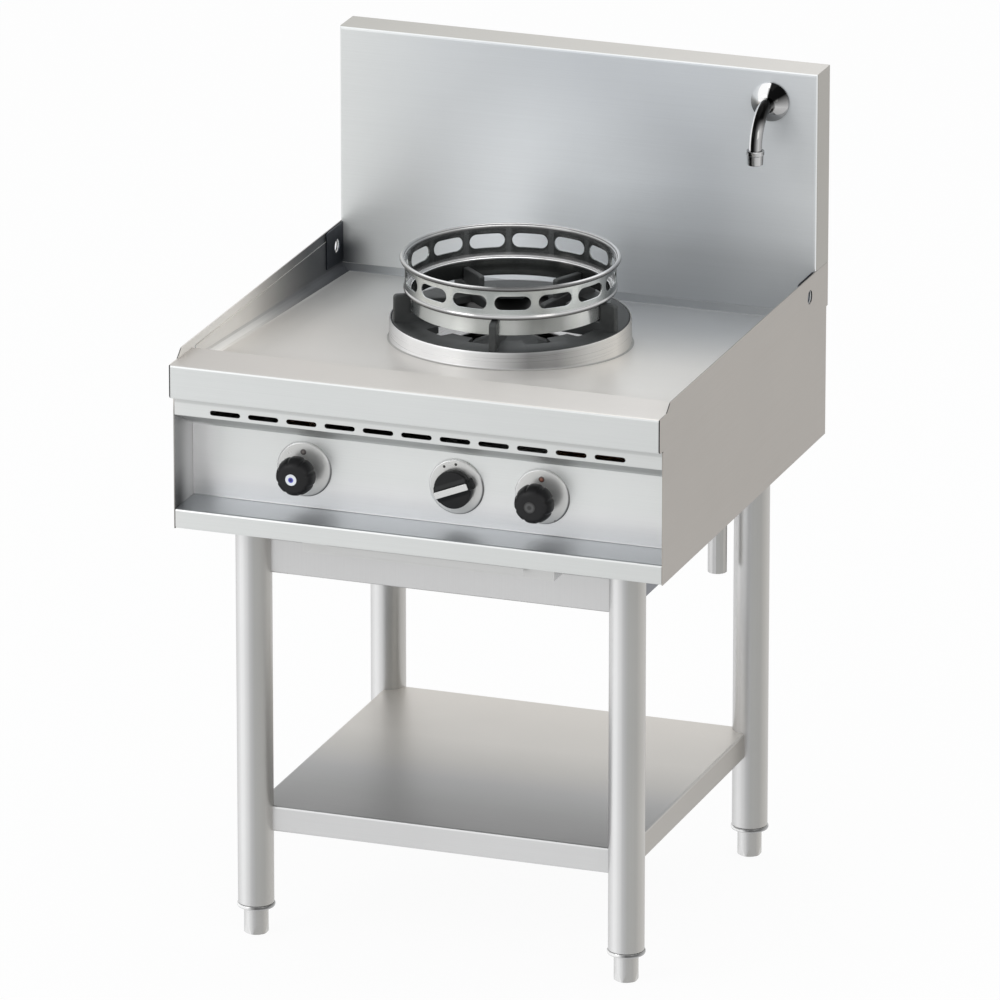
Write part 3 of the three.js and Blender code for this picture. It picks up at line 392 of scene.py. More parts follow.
def worktop_paint(s):
    """Apron, strip and deck, the upstand at the left, and a dark fold along the rear. Painted light
    and reflections: the apron lighter at the left, the strip and deck brighter to the right, darker
    and cooler at the rear; painted shade at the foot of the rear upturn and in the rear fold; a
    painted reflection fading along the upstand's bend, and painted highlights on its crease and
    along the front lip.
    """
    front = s.along("X", (-350, 219, 221, 220), (350, 211, 213, 212))
    # Painted shade at the foot of the rear upturn, darkest at the left.
    foot = s.along("X", (-345, 112, 114, 117), (-250, 186, 190, 193), (60, 180, 184, 187),
        (200, 166, 169, 172), (350, 180, 182, 183))
    front = s.mix(s.past("Y", DECK_END - 14, DECK_END - 8), front, foot)
    # Painted light and reflection on the strip and deck.
    strip = s.along("X", (-320, 190, 186, 181), (320, 226, 222, 217))
    deck = s.along("X", (-345, 226, 222, 216), (-290, 205, 202, 197), (-200, 206, 203, 199),
        (60, 218, 215, 211), (180, 234, 231, 226), (320, 240, 237, 232))
    top = s.mix(s.past("Y", -235, -150), strip, deck)
    rear = s.along("X", (-260, 246, 250, 254), (60, 224, 229, 236), (350, 214, 219, 225))
    top = s.mix(s.past("Y", -60, 240), top, s.times(top, rear))
    color = s.mix(s.faces("Z", 0.5, 0.9), front, top)
    # Painted shade in the rear fold.
    fold = s.both(s.edge(FORE, UP, 0.2, 0.42), s.past("Y", DECK_END - 20, DECK_END - 12))
    color = s.mix(fold, color, shown(142, 144, 147))
    left = s.past("X", -300, -320)
    color = s.mix(s.both(s.faces("X", 0.35, 0.7), left), color, guard_tone(s))
    # Painted reflection on the upstand's bend, fading towards the rear, and a painted highlight on
    # its crease.
    bend = s.both(s.edge(RIGHT, UP, 0.15, 0.35), left)
    color = s.mix(bend, color, s.along("Y", (-200, 236, 232, 226), (-60, 214, 211, 206),
        (40, 150, 149, 148), (150, 92, 93, 96), (290, 90, 92, 96)))
    crease = s.both(s.edge(RIGHT, UP, 0.46, 0.5), s.past("Y", 40, -160))
    color = s.mix(crease, color, shown(254, 251, 246))
    return s.mix(s.both(s.edge(FORE, UP), s.past("Y", FRONT + 8, FRONT + 5)), color, GLINT)


def side_edge(s, color):
    """The cut front edge of a side sheet is dark from the apron up."""
    return s.mix(s.both(s.faces("Y", -0.35, -0.7), s.past("Z", 790, 793)), color, CUT_EDGE)


def side_paint(s):
    """Painted shade outside, warm grey; inside, painted shade on the recess wall, dark low in
    front, and above it the guard with its painted reflection.
    """
    # Painted shade on the recess wall, dark low in front and lighter towards the rear.
    wall = s.along("Z", (634, 52), (655, 78), (690, 134), (770, 150))
    wall = s.mix(s.past("Y", -325, -285), wall, shown(196))
    inner = s.mix(s.past("Z", 770, 790), wall, guard_tone(s))
    return side_edge(s, s.mix(s.faces("X", -0.2, 0.2), SIDE_SHADE, inner))


def right_paint(s):
    # The right side sheet in warm painted shade.
    return side_edge(s, SIDE_SHADE)


def splash_paint(s):
    """Painted light in a soft glow behind the wok ring; painted shade low at the right, on the warm
    right flank and as a contact shadow at the foot; the top painted darker at the left, and painted
    highlights on the front edges.
    """
    face = s.along("X", (-350, 222, 224, 223), (-200, 213, 216, 218), (0, 206, 210, 214),
        (180, 206, 210, 214), (350, 207, 210, 212))
    # Painted light: a soft glow behind the wok ring.
    glow = s.between(s.reach((-20, 890), "XZ"), 240, 50)
    face = s.mix(glow, face, shown(246, 250, 253))
    # Painted shade low at the right, and a painted contact shadow at the left foot.
    shade = s.along("Z", (800, 176), (860, 184), (900, 202), (960, 212), from_tones=part_of)
    face = s.mix(s.past("X", 0, 90), face, s.times(face, shade))
    contact = s.both(s.past("X", -290, -345), s.past("Z", 850, 812))
    face = s.mix(contact, face, shown(92, 94, 97))
    flank = s.mix(s.faces("X", 0.4, 0.7), face, shown(163, 159, 152))
    top = s.along("X", (-350, 182, 180, 174), (350, 212, 209, 204))
    color = s.mix(s.faces("Z", 0.4, 0.7), flank, top)
    return glinting(s, color, (FORE, UP), (FORE, RIGHT))


def tube_paint(s):
    """Round steel tube: a painted highlight band left of the middle and painted shade on the right
    side.
    """
    return s.toward("X", (-1, 192), (-0.83, 205), (-0.63, 225), (-0.42, 238), (-0.27, 233),
        (-0.13, 218), (0, 206), (0.1, 190), (0.22, 178), (0.36, 169, 169, 167),
        (0.77, 168, 167, 164), (0.9, 180, 178, 174), (1, 190, 188, 184))


def rail_paint(s):
    """Side rails: painted shade, dark and cool, on their right side."""
    return s.mix(s.faces("X", 0.5, 0.8), shown(196), shown(120, 122, 128))


def shelf_paint(s):
    """Painted shade, darker towards the front, and warm painted shade on the right flank; painted
    highlights along the front and right edges.
    """
    top = s.along("Y", (-250, 138), (-150, 152), (-70, 168), (10, 190, 188, 184),
        (90, 206, 203, 198), (250, 214, 210, 204))
    flank = s.mix(s.faces("X", 0.4, 0.7), shown(210), shown(172, 168, 162))
    color = s.mix(s.faces("Z", 0.4, 0.7), flank, top)
    return glinting(s, color, (FORE, UP), (RIGHT, UP))


def tray_paint(s):
    # Right-facing faces painted lighter: painted light against their shade.
    return s.mix(s.faces("X", 0.4, 0.7), shown(210, 210, 209), shown(236))


def collar_paint(s):
    """Painted highlight at the left front and painted shade right of the middle, with painted shade
    at the foot; in the bowl, painted shade at its top and painted light below, and light on the
    ledge round it.
    """
    wall = s.stops(s.bearing(BURNER), ((-110, 150), (-70, 160), (-52, 222), (-36, 255), (-6, 255),
        (6, 228), (28, 130), (42, 138), (60, 210, 209, 206), (80, 238, 234, 228),
        (104, 165, 163, 158), (180, 160)))
    radius = s.reach(BURNER)
    # Painted shade at the foot of the collar.
    fillet = s.both(s.faces("Z", 0.2, 0.75), s.between(radius, 166.2, 167.2))
    wall = s.mix(fillet, wall, shown(160, 159, 156))
    # In the bowl: painted shade at its top and painted light below.
    bowl = s.mix(s.past("Z", 798, 803), shown(252), shown(44))
    bowl = s.mix(s.between(radius, 141, 143), bowl, shown(236, 238, 240))
    return s.mix(s.between(radius, 163.8, 164.6), bowl, wall)


def ring_paint(s):
    """Fields of light round the band and crown; the bead and rolled rim shade by their facing."""
    around = s.bearing(BURNER)
    band = s.stops(around, ((-120, 124, 128, 127), (-62, 122, 126, 125), (-42, 200, 204, 203),
        (-20, 240, 244, 243), (0, 188, 192, 191), (16, 208, 212, 211), (38, 176, 180, 179),
        (54, 234, 238, 237), (72, 244, 246, 245), (90, 120, 124, 123), (115, 160, 164, 163),
        (180, 150, 153, 152)))
    crown = s.stops(around, ((-180, 205), (-90, 165), (-50, 190), (-30, 250), (-2, 250), (12, 70),
        (30, 60), (45, 110), (58, 248), (76, 250), (92, 182), (150, 190), (180, 205)))
    shade = s.stops(around, ((22, 212), (32, 158), (50, 158), (64, 212)), from_tones=part_of)
    band = s.mix(s.past("Z", 872, 870), band, s.times(band, shade))
    # Painted shade on the inside of the ring.
    hollow = s.along("Z", (850, 70, 72, 71), (871, 78, 80, 79), (884, 100, 102, 102),
        (912, 104, 106, 106))
    bead = s.toward("Z", (-1, 60), (-0.4, 70), (0, 120), (0.4, 200), (0.7, 250))
    rim = s.mix(s.faces("Z", 0.5, 0.86),
        s.toward("Z", (-1, 58), (-0.4, 66), (0, 104), (0.5, 128)), crown)
    on_bead = s.both(s.past("Z", 871.5, 872.3), s.past("Z", 880, 879))
    on_rim = s.past("Z", 913, 914.5)
    outside, inside = (s.mix(on_rim, s.mix(on_bead, side, bead), rim) for side in (band, hollow))
    return s.mix(s.between(s.inward(BURNER), 0.0, 0.4), outside, inside)


def rosette_paint(s):
    """Chromed cone: painted reflections, white, black and grey fields round its axis."""
    around = s.degrees(*s.offset((SPOUT_X, SPOUT_Z), "XZ"))
    return s.stops(around, ((-180, 105), (-120, 90), (-85, 165, 163, 158), (-68, 252), (-2, 252),
        (6, 18), (58, 14), (76, 120), (100, 185), (140, 160), (180, 110)))


def spout_paint(s):
    """Chromed tube: painted reflections, a white line on the left, a black band and a grey right
    side.
    """
    left = (-1, 245), (-0.62, 252), (-0.5, 240), (-0.4, 14)
    low = s.toward("X", *left, (0.05, 10), (0.3, 90), (0.7, 190), (1, 150))
    high = s.toward("X", *left, (0.7, 10), (1, 60))
    return s.mix(s.past("Z", 1066, 1084), low, high)


def nozzle_paint(s):
    # Painted reflections on the chromed nozzle.
    return s.toward("X", (-1, 196), (-0.66, 206), (-0.55, 250), (-0.42, 16), (-0.25, 30),
        (-0.05, 120), (0.5, 186), (0.8, 196), (1, 110))


def bezel_paint(s):
    """Light face; the bevel has a painted highlight at the upper left and painted shade at the
    lower right.
    """
    rise = s.calc("MULTIPLY", s.facing.outputs["Z"], 0.6)
    slant = s.calc("SUBTRACT", rise, s.facing.outputs["X"])
    return s.stops(slant, ((-1.1, 118), (-0.75, 138), (-0.4, 204), (-0.12, 210, 210, 208),
        (0.12, 216, 216, 214), (0.4, 254), (1.1, 250)))


def bead_paint(s):
    """Bead under the leg: along its upper half, a painted highlight at the left and painted shade
    at the right.
    """
    line = s.toward("X", (-1, 215), (-0.75, 252), (-0.1, 246), (0.12, 150), (0.3, 92), (0.8, 110),
        (1, 170))
    rest = s.toward("X", (-1, 190), (-0.5, 226), (0.1, 196), (0.4, 170), (1, 182))
    upper = s.mix(s.faces("Z", -0.35, 0.0), rest, line)
    return s.mix(s.faces("Z", 0.75, 0.35), rest, upper)


def rings_at(x, z, *marks):
    """Paint by distance from a point of the panel."""
    return lambda s: s.stops(s.reach((x, z), "XZ"), marks)


MIRROR = {"streak": 0.02, "bump": 0.003}

front_steel = metal("steel_front", fascia_paint, 0.36, ALONG_X, metallic=0.85)
top_steel = metal("steel_top", worktop_paint, 0.36, ALONG_X, metallic=0.5)
side_steel = metal("steel_side", side_paint, 0.40, ALONG_Y, metallic=0.2)
right_steel = metal("steel_side_right", right_paint, 0.40, ALONG_Y)
splash_steel = metal("steel_splash", splash_paint, 0.36, ALONG_X, metallic=0.42)
tube_steel = metal("steel_tube", tube_paint, 0.33, ALONG_Z, metallic=0.8)
rail_steel = metal("steel_rail", rail_paint, 0.38, ALONG_Y, metallic=0.8)
shelf_steel = metal("steel_shelf", shelf_paint, 0.36, ALONG_X, metallic=0.7)
tray_steel = metal("steel_tray", tray_paint, 0.38, ALONG_X, metallic=0.6)
inner_steel = metal("steel_inner", shown(165, 165, 163), 0.45, ALONG_X, metallic=0.8)
tab_steel = metal("steel_tab", shown(60, 64, 72), 0.4, ALONG_Z)
collar_steel = metal("steel_collar", collar_paint, 0.30, TURNED, streak=0.03, bump=0.006,
    metallic=0.2)
ring_steel = metal("steel_ring", ring_paint, 0.17, TURNED, bump=0.005, metallic=0.75)
bezel_steel = metal("steel_bezel", bezel_paint, 0.3, COARSE, bump=0.004, metallic=0.6)
strip_steel = metal("steel_strip", shown(214, 214, 213), 0.3, EVEN, metallic=0.8)
rosette_chrome = metal("chrome_rosette", rosette_paint, 0.08, EVEN, **MIRROR)
spout_chrome = metal("chrome_spout", spout_paint, 0.07, EVEN, **MIRROR)
nozzle_chrome = metal("chrome_nozzle", nozzle_paint, 0.09, EVEN, **MIRROR)
chrome = metal("chrome", shown(205), 0.08, EVEN, **MIRROR)
bead_steel = metal("steel_bead", bead_paint, 0.16, EVEN, bump=0.01, metallic=0.8)
foot_steel = metal("steel_foot", tube_paint, 0.2, ALONG_Z, bump=0.01, metallic=0.8)
brass = metal("brass", (0.72, 0.55, 0.28), 0.28, EVEN)
copper = metal("copper", (0.75, 0.44, 0.30), 0.30, EVEN, cloud=0.25)
iron = cast("cast_iron", shown(66, 68, 68), 0.5)
black = plastic("black_plastic", shown(30, 30, 31), 0.38, specular=0.22)
mark_black = plastic("black_mark", shown(30), 0.4)
cap_white = plastic("white_cap", rings_at(TAPS["left"], CONTROL_Z,
    (0, 22, 20, 70), (1.4, 30, 28, 90), (2.2, 62, 62, 165), (3.3, 96, 98, 190),
    (4.2, 232, 236, 242), (8, 238, 241, 243)), 0.3)
cap_grey = plastic("grey_cap", rings_at(TAPS["right"], CONTROL_Z,
    (0, 40), (2.4, 44), (3.2, 70), (5.6, 78), (6.4, 52), (8, 46)), 0.38)
# The marks' light centres are a painted highlight on their domes, round a darker ring.
mark_grey = plastic("grey_mark", rings_at(TAPS["left"], MARK_Z,
    (0, 150, 142, 138), (1.8, 120, 112, 110), (2.8, 80, 76, 76), (3.5, 95, 92, 92)), 0.3)
mark_brown = plastic("brown_mark", rings_at(TAPS["right"], MARK_Z,
    (0, 185, 140, 120), (1.8, 150, 96, 80), (2.8, 92, 60, 52), (3.5, 105, 90, 86)), 0.3)

# ------------------------------------------------------------------ mesh helpers

ROUND_STEP = math.radians(15)
FOLD_RADIUS = 1.5
PIPE_SIDES, PIPE_BEND_STEPS = 40, 16
BEVEL_ANGLE = math.radians(40.0)
PIECE_SMOOTH, NODE_SMOOTH = math.radians(32.0), math.radians(28.0)


def smooth(obj, angle=PIECE_SMOOTH):
    """Smooth shading, but for edges sharper than the angle."""
    obj.data.shade_smooth()
    obj.data.set_sharp_from_angle(angle=angle)


def piece(name, bm, mat, body="range", replaces=()):
    """Object from the mesh, on its body, in place of the nodes that it replaces."""
    mesh = bpy.data.meshes.new(name)
    bmesh.ops.recalc_face_normals(bm, faces=bm.faces[:])
    bm.to_mesh(mesh)
    bm.free()
    obj = bpy.data.objects.new(name, mesh)
    bpy.context.scene.collection.objects.link(obj)
    mesh.materials.append(mat)
    smooth(obj)
    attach(obj, body)
    if replaces:
        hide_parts(*replaces)
    return obj


def rounded(corners):
    """Closed outline with rounded corners; each corner is (u, v, radius), or (u, v) if sharp."""
    points = []
    count = len(corners)
    for i, corner in enumerate(corners):
        at = Vector(corner[:2])
        radius = corner[2] if len(corner) > 2 else 0
        if radius == 0:
            points.append(at)
            continue
        back = (Vector(corners[i - 1][:2]) - at).normalized()
        on = (Vector(corners[(i + 1) % count][:2]) - at).normalized()
        half = back.angle(on) / 2
        centre = at + (back + on).normalized() * (radius / math.sin(half))
        start = at + back * (radius / math.tan(half)) - centre
        end = at + on * (radius / math.tan(half)) - centre
        turn = start.angle_signed(end)
        steps = max(2, math.ceil(abs(turn) / ROUND_STEP - 0.01))
        for s in range(steps + 1):
            spun = start.copy()
            spun.rotate(Matrix.Rotation(-turn * s / steps, 2))
            points.append(centre + spun)
    return points


def rectangle(u0, u1, v0, v1, radius):
    """Outline of a rectangle with rounded corners."""
    return rounded([(u0, v0, radius), (u1, v0, radius), (u1, v1, radius), (u0, v1, radius)])


def folded(path):
    """Outline of a folded sheet: the path is one face, the other lies to its left."""
    outer = FOLD_RADIUS + SHEET
    near, far = [], []
    for i, at in enumerate(path):
        at = Vector(at)
        before = Vector(path[i - 1]) if i else None
        after = Vector(path[i + 1]) if i + 1 < len(path) else None
        first = ((at - before) if before else (after - at)).normalized()
        last = ((after - at) if after else (at - before)).normalized()
        left = Vector((-first.y - last.y, first.x + last.x)) * (SHEET / (1 + first.dot(last)))
        turn = first.x * last.y - first.y * last.x if before and after else 0
        radii = (outer, FOLD_RADIUS) if turn > 0 else (FOLD_RADIUS, outer)
        if abs(turn) < TINY:
            radii = (0, 0)
        near.append((*at, radii[0]))
        far.append((*(at + left), radii[1]))
    return rounded(near + far[::-1])


def lathe(bm, profile, centre=(0, 0, 0), axis="Z", segments=128, warp=None):
    """Surface turned about an axis through centre, from a profile of (radius, level).

    The profile closes on itself unless it starts on the axis. The warp takes a point's
    (radius, level, angle) to its new radius and level.
    """
    rings = []
    for radius, level in profile:
        ring = []
        for k in range(segments if radius > TINY else 1):
            a = 2 * math.pi * k / segments
            r, h = warp(radius, level, a) if warp else (radius, level)
            u, v = r * math.cos(a), r * math.sin(a)
            p = (u, v, h) if axis == "Z" else (u, h, v)
            ring.append(bm.verts.new([(c + d) * MM for c, d in zip(centre, p)]))
        rings.append(ring)
    pairs = list(zip(rings, rings[1:]))
    if profile[0][0] > TINY:
        pairs.append((rings[-1], rings[0]))
    for low, high in pairs:
        if len(low) == 1 and len(high) == 1:
            continue
        for k in range(segments):
            n = (k + 1) % segments
            if len(low) == 1:
                bm.faces.new((low[0], high[k], high[n]))
            elif len(high) == 1:
                bm.faces.new((low[k], low[n], high[0]))
            else:
                bm.faces.new((low[k], low[n], high[n], high[k]))
    return bm


def stack(bm, rings):
    """Solid through outlines of equal counts of corners, (x, y, z) each."""
    made = [[bm.verts.new([c * MM for c in p]) for p in ring] for ring in rings]
    count = len(made[0])
    for low, high in zip(made, made[1:]):
        for k in range(count):
            n = (k + 1) % count
            bm.faces.new((low[k], low[n], high[n], high[k]))
    bm.faces.new(made[0][::-1])
    bm.faces.new(made[-1])
    return bm


def prism(bm, outline, axis, low, high):
    """Straight bar with the outline (u, v): axis X takes (y, z), Y takes (x, z), Z takes (x, y)."""
    def at(u, v, w):
        return {"X": (w, u, v), "Y": (u, w, v), "Z": (u, v, w)}[axis]

    return stack(bm, [[at(u, v, w) for u, v in outline] for w in (low, high)])


def pipe(bm, points, radius, bend):
    """Round bar through the points, bent at the radius, with closed ends."""
    pts = [Vector(p) for p in points]
    path = [(pts[0], (pts[1] - pts[0]).normalized())]
    for i in range(1, len(pts) - 1):
        back = (pts[i - 1] - pts[i]).normalized()
        on = (pts[i + 1] - pts[i]).normalized()
        half = back.angle(on) / 2
        centre = pts[i] + (back + on).normalized() * (bend / math.sin(half))
        start = pts[i] + back * (bend / math.tan(half)) - centre
        axis = on.cross(back).normalized()
        turn = math.pi - 2 * half
        for s in range(PIPE_BEND_STEPS + 1):
            spin = Matrix.Rotation(turn * s / PIPE_BEND_STEPS, 3, axis)
            path.append((centre + spin @ start, (spin @ -back).normalized()))
    path.append((pts[-1], (pts[-1] - pts[-2]).normalized()))
    # A section's first direction is only any vector that isn't along the pipe.
    side = Vector((0.31, 0.23, 0.92)).cross(path[0][1]).normalized()
    rings = []
    for i, (at, along) in enumerate(path):
        if i:
            side.rotate(path[i - 1][1].rotation_difference(along))
        up = along.cross(side)
        rings.append([at + (side * math.cos(a) + up * math.sin(a)) * radius
            for a in (2 * math.pi * k / PIPE_SIDES for k in range(PIPE_SIDES))])
    return stack(bm, rings)


def turn_about(bm, angle, centre, axis="Z", keep=()):
    """Turns the mesh by degrees about an axis through centre, but for the corners to keep."""
    spin = Matrix.Rotation(math.radians(angle), 3, axis)
    verts = [v for v in bm.verts if v not in keep]
    bmesh.ops.rotate(bm, cent=[c * MM for c in centre], matrix=spin, verts=verts)


def round_burner(count, first, make):
    """What make adds to a mesh, count times round the burner, from the first angle in degrees."""
    bm = bmesh.new()
    for k in range(count):
        before = set(bm.verts)
        make(bm)
        turn_about(bm, first + 360 / count * k, (0, 0, 0), keep=before)
    bmesh.ops.translate(bm, vec=[c * MM for c in BURNER], verts=bm.verts[:])
    return bm


def carve(obj, cutter):
    """Cuts the obj with the cutter and keeps the result as its mesh."""
    mesh = bpy.data.meshes.new("cutter")
    bmesh.ops.recalc_face_normals(cutter, faces=cutter.faces[:])
    cutter.to_mesh(mesh)
    cutter.free()
    tool = bpy.data.objects.new("cutter", mesh)
    bpy.context.scene.collection.objects.link(tool)
    mod = obj.modifiers.new("cut", "BOOLEAN")
    mod.object = tool
    mod.operation = "DIFFERENCE"
    mod.solver = "EXACT"
    bpy.context.view_layer.update()
    graph = bpy.context.evaluated_depsgraph_get()
    made = bpy.data.meshes.new_from_object(obj.evaluated_get(graph))
    obj.modifiers.clear()
    obj.data = made
    bpy.data.objects.remove(tool)
    bpy.data.meshes.remove(mesh)
    smooth(obj)


def bevel(obj, width, segments):
    """Rounds the sharp edges over a width in mm."""
    mod = obj.modifiers.new("edge", "BEVEL")
    mod.width = width * MM
    mod.segments = segments
    mod.limit_method = "ANGLE"
    mod.angle_limit = BEVEL_ANGLE


# ------------------------------------------------------------------ carried-over nodes

for names, mat in {
    "side_left": side_steel, "side_right": right_steel, "fascia": front_steel,
    "worktop": top_steel, "splash_shell": splash_steel, "splash_cover": inner_steel,
    "splash_tab_left splash_tab_right": tab_steel, "shelf": shelf_steel,
    "floor_panel rear_panel burner_bracket": inner_steel,
    "drip_tray tray_runner_left tray_runner_right": tray_steel,
    "rail_left rail_right": rail_steel, "drain_elbow drain_pipe": tube_steel,
    "burner_body burner_head": iron, "drain_strainer": chrome,
    "injector pilot water_valve_left water_valve_right gas_valve": brass,
    "water_spindle_left water_spindle_right gas_spindle": brass,
    "water_pipe gas_inlet_pipe gas_feed_pipe spout_riser cooling_pipe": copper,
}.items():
    for name in names.split():
        nodes[name].data.materials.clear()
        nodes[name].data.materials.append(mat)
        smooth(nodes[name], NODE_SMOOTH)

# ------------------------------------------------------------------ stand


def end_frame(side, inward):
    """Two leg tubes with their plates, and the channel rail between them."""
    y = LEG_Y[side]
    bore, plate = LEG_RADIUS - SHEET, LEG_TOP - PLATE_THICKNESS
    bm = bmesh.new()
    for x in (-LEG_X, LEG_X):
        lathe(bm, [(bore, LEG_BOTTOM), (LEG_RADIUS - 0.4, LEG_BOTTOM),
            (LEG_RADIUS, LEG_BOTTOM + 0.4), (LEG_RADIUS, plate), (bore, plate)],
            (x, y, 0), segments=96)
        prism(bm, rectangle(x - PLATE_HALF, x + PLATE_HALF, y - PLATE_HALF, y + PLATE_HALF,
            PLATE_CORNER), "Z", plate, LEG_TOP)
    back = y + inward * RAIL_DEPTH
    path = [(back, RAIL_BOTTOM), (y, RAIL_BOTTOM), (y, RAIL_TOP), (back, RAIL_TOP)]
    reach = LEG_X - LEG_RADIUS / 2
    prism(bm, folded(path[::-1] if inward > 0 else path), "X", -reach, reach)
    piece(f"stand_{side}", bm, tube_steel, replaces=(f"frame_{side}",))


end_frame("front", 1)
end_frame("rear", -1)

FOOT_RADIUS, FOOT_TOP = 17.0, 38.3
FLAT_TOP, FLAT_IN, FLAT_RINGS = 13.0, 15.3, 10
STUD_RADIUS, STUD_LENGTH = 6, 40

foot_profile = [(0, 0), (15.4, 0), (16.4, 0.4)] + [
    (FOOT_RADIUS, 1.4 + FLAT_TOP * k / FLAT_RINGS) for k in range(FLAT_RINGS)] + [
    (FOOT_RADIUS, FLAT_TOP + 0.5), (FOOT_RADIUS, FOOT_TOP - 0.6), (FOOT_RADIUS - 0.6, FOOT_TOP),
    (STUD_RADIUS, FOOT_TOP), (STUD_RADIUS, FOOT_TOP + STUD_LENGTH), (0, FOOT_TOP + STUD_LENGTH)]

# Leg insert: a bead under the leg's end, and a plug inside it.
insert_profile = [(6.3, 38.6), (24.6, 38.6), (25.8, 39.1), (26.4, 40.2), (26.5, 41.5),
    (26.4, 42.8), (25.8, 43.9), (24.6, 44.4), (22.7, 44.4), (22.7, 70.7), (6.3, 70.7)]


def foot_warp(radius, level, angle):
    """Six flats that cut deeper towards the floor."""
    if radius <= STUD_RADIUS or level > FLAT_TOP:
        return radius, level
    off = (math.degrees(angle) + 30) % 60 - 30
    flat = FLAT_IN + (FOOT_RADIUS - FLAT_IN) * level / FLAT_TOP
    return min(radius, flat / math.cos(math.radians(off))), level


for corner in ("front_left", "front_right", "rear_left", "rear_right"):
    end, side = corner.split("_")
    place = (-LEG_X if side == "left" else LEG_X, LEG_Y[end], 0)
    piece(f"insert_{corner}", lathe(bmesh.new(), insert_profile, place, segments=96),
        bead_steel, replaces=(f"foot_insert_{corner}",))
    piece(f"leveller_{corner}",
        lathe(bmesh.new(), foot_profile, place, segments=120, warp=foot_warp),
        foot_steel, body=f"foot_{corner}", replaces=(f"foot_{corner}",))

# ------------------------------------------------------------------ burner

# Collar: levels under DECK_HEIGHTS in its profile are heights over the deck.
DECK_HEIGHTS = 100
fillet = [(169.2, 0.1), (168.0, 0.4), (167.1, 1.1), (166.6, 2.1), (166.3, 3.4), (166.2, 5.0)]
collar_profile = fillet + [(165.8, 829.5), (165.4, 832.0), (164.8, 832.9), (164.2, 832.6),
    (164.0, 831.8), (164.0, 823.6), (163.4, 822.7), (143.0, 822.7), (141.6, 822.2),
    (140.6, 821.2), (94.2, 786.4), (93.0, 785.5), (92.0, 785.5), (92.0, 784.0), (94.6, 784.0),
    (142.0, 821.2), (164.0, 821.2), (165.2, 0.2)]


def collar_warp(radius, level, angle):
    """The foot of the collar follows the slope of the deck."""
    if level > DECK_HEIGHTS:
        return radius, level
    return radius, level + deck_level(BURNER_Y + radius * math.sin(angle))


piece("collar", lathe(bmesh.new(), collar_profile, BURNER, segments=256, warp=collar_warp),
    collar_steel, replaces=("burner_collar",))

# Pan support: a ring with notches at its bore, and lugs on ribs. Turns are in degrees.
NOTCHES, NOTCH_TURN = 10, 1.1
LUGS, LUG_TURN = 5, 191
LUG_HALF, FINGER_HALF = 5, 4.2
support_profile = [(109, 823), (163, 823), (163, 831), (162.4, 832.4), (161, 833), (110.5, 833),
    (109.4, 832.4), (109, 831)]
notch = rectangle(-18, 18, -129, -60, 4)
lug = rounded([(62, 823), (161.8, 823), (161.8, 872, 5), (138.3, 872, 3), (138.3, 846, 2),
    (129.5, 846, 2), (62, 836, 4)])
finger = rounded([(85.5, 826), (135, 826), (135, 866, 3), (85.5, 866, 4)])


def add_lug(bm):
    prism(bm, lug, "X", -LUG_HALF, LUG_HALF)
    prism(bm, finger, "X", -FINGER_HALF, FINGER_HALF)


support = piece("support_ring", lathe(bmesh.new(), support_profile, BURNER, segments=240), iron,
    body="pan_support", replaces=("trivet",))
carve(support, round_burner(NOTCHES, NOTCH_TURN, lambda bm: prism(bm, notch, "Z", 815, 840)))
lugs = piece("support_lugs", round_burner(LUGS, LUG_TURN, add_lug), iron, body="pan_support",
    replaces=("trivet",))
bevel(lugs, width=2.0, segments=4)

# Wok ring: skirt, bead that rests on the lugs, slotted band and rolled rim.
RIM, RIM_LEVEL, RIM_RADIUS = 148.2, 917.3, 3.1
SLOTS, SLOT_TURN = 15, 21
SLOT_HALF, SLOT_LOW, SLOT_HIGH = 25, 886.7, 906.7
rim_arc = [(RIM + RIM_RADIUS * math.cos(a), RIM_LEVEL + RIM_RADIUS * math.sin(a))
    for a in map(math.radians, range(-150, 166, 15))]
ring_profile = [(137.5, 849.3), (137.5, 871.0), (137.9, 872.0), (138.8, 872.4), (144.0, 872.4),
    (145.4, 872.8), (146.3, 873.8), (146.5, 875.2), (146.3, 876.8), (145.6, 878.0),
    (145.1, 879.2), (145.0, 880.5), (145.0, 913.6)] + rim_arc + [(143.9, 917.4), (143.4, 916.6),
    (143.2, 915.6), (143.2, 876.0), (142.8, 874.8), (141.8, 874.3), (136.6, 874.3),
    (135.9, 873.8), (135.7, 873.0), (135.7, 849.3), (136.0, 849.0), (137.2, 849.0)]
ring_slot = rectangle(-SLOT_HALF, SLOT_HALF, SLOT_LOW, SLOT_HIGH, 9.99)
ring = piece("ring_band", lathe(bmesh.new(), ring_profile, BURNER, segments=240), ring_steel,
    body="ring", replaces=("wok_ring",))
carve(ring, round_burner(SLOTS, SLOT_TURN, lambda bm: prism(bm, ring_slot, "Y", -156, -134)))

# ------------------------------------------------------------------ controls

bezel_back = PANEL - FIT
for name, x in (("left", TAPS["left"]), ("gas", GAS_X), ("right", TAPS["right"])):
    piece(f"rosette_{name}", lathe(bmesh.new(), [(12, bezel_back), (38.5, bezel_back),
        (39, bezel_back - 0.5), (39, BEZEL_FACE + 2.2), (38.7, BEZEL_FACE + 1.5),
        (37.2, BEZEL_FACE + 0.2), (36.4, BEZEL_FACE), (12, BEZEL_FACE - 0.4)],
        (x, 0, CONTROL_Z), "Y"), bezel_steel, replaces=(f"bezel_{name}",))


def stud(name, x, z, radius, height, mat):
    """Small round mark with a domed face on a bezel."""
    face = BEZEL_FACE - 0.2
    piece(name, lathe(bmesh.new(), [(0, face + 0.5), (radius, face + 0.5),
        (radius, face - height * 0.5), (radius * 0.8, face - height * 0.85), (0, face - height)],
        (x, 0, z), "Y", 48), mat)


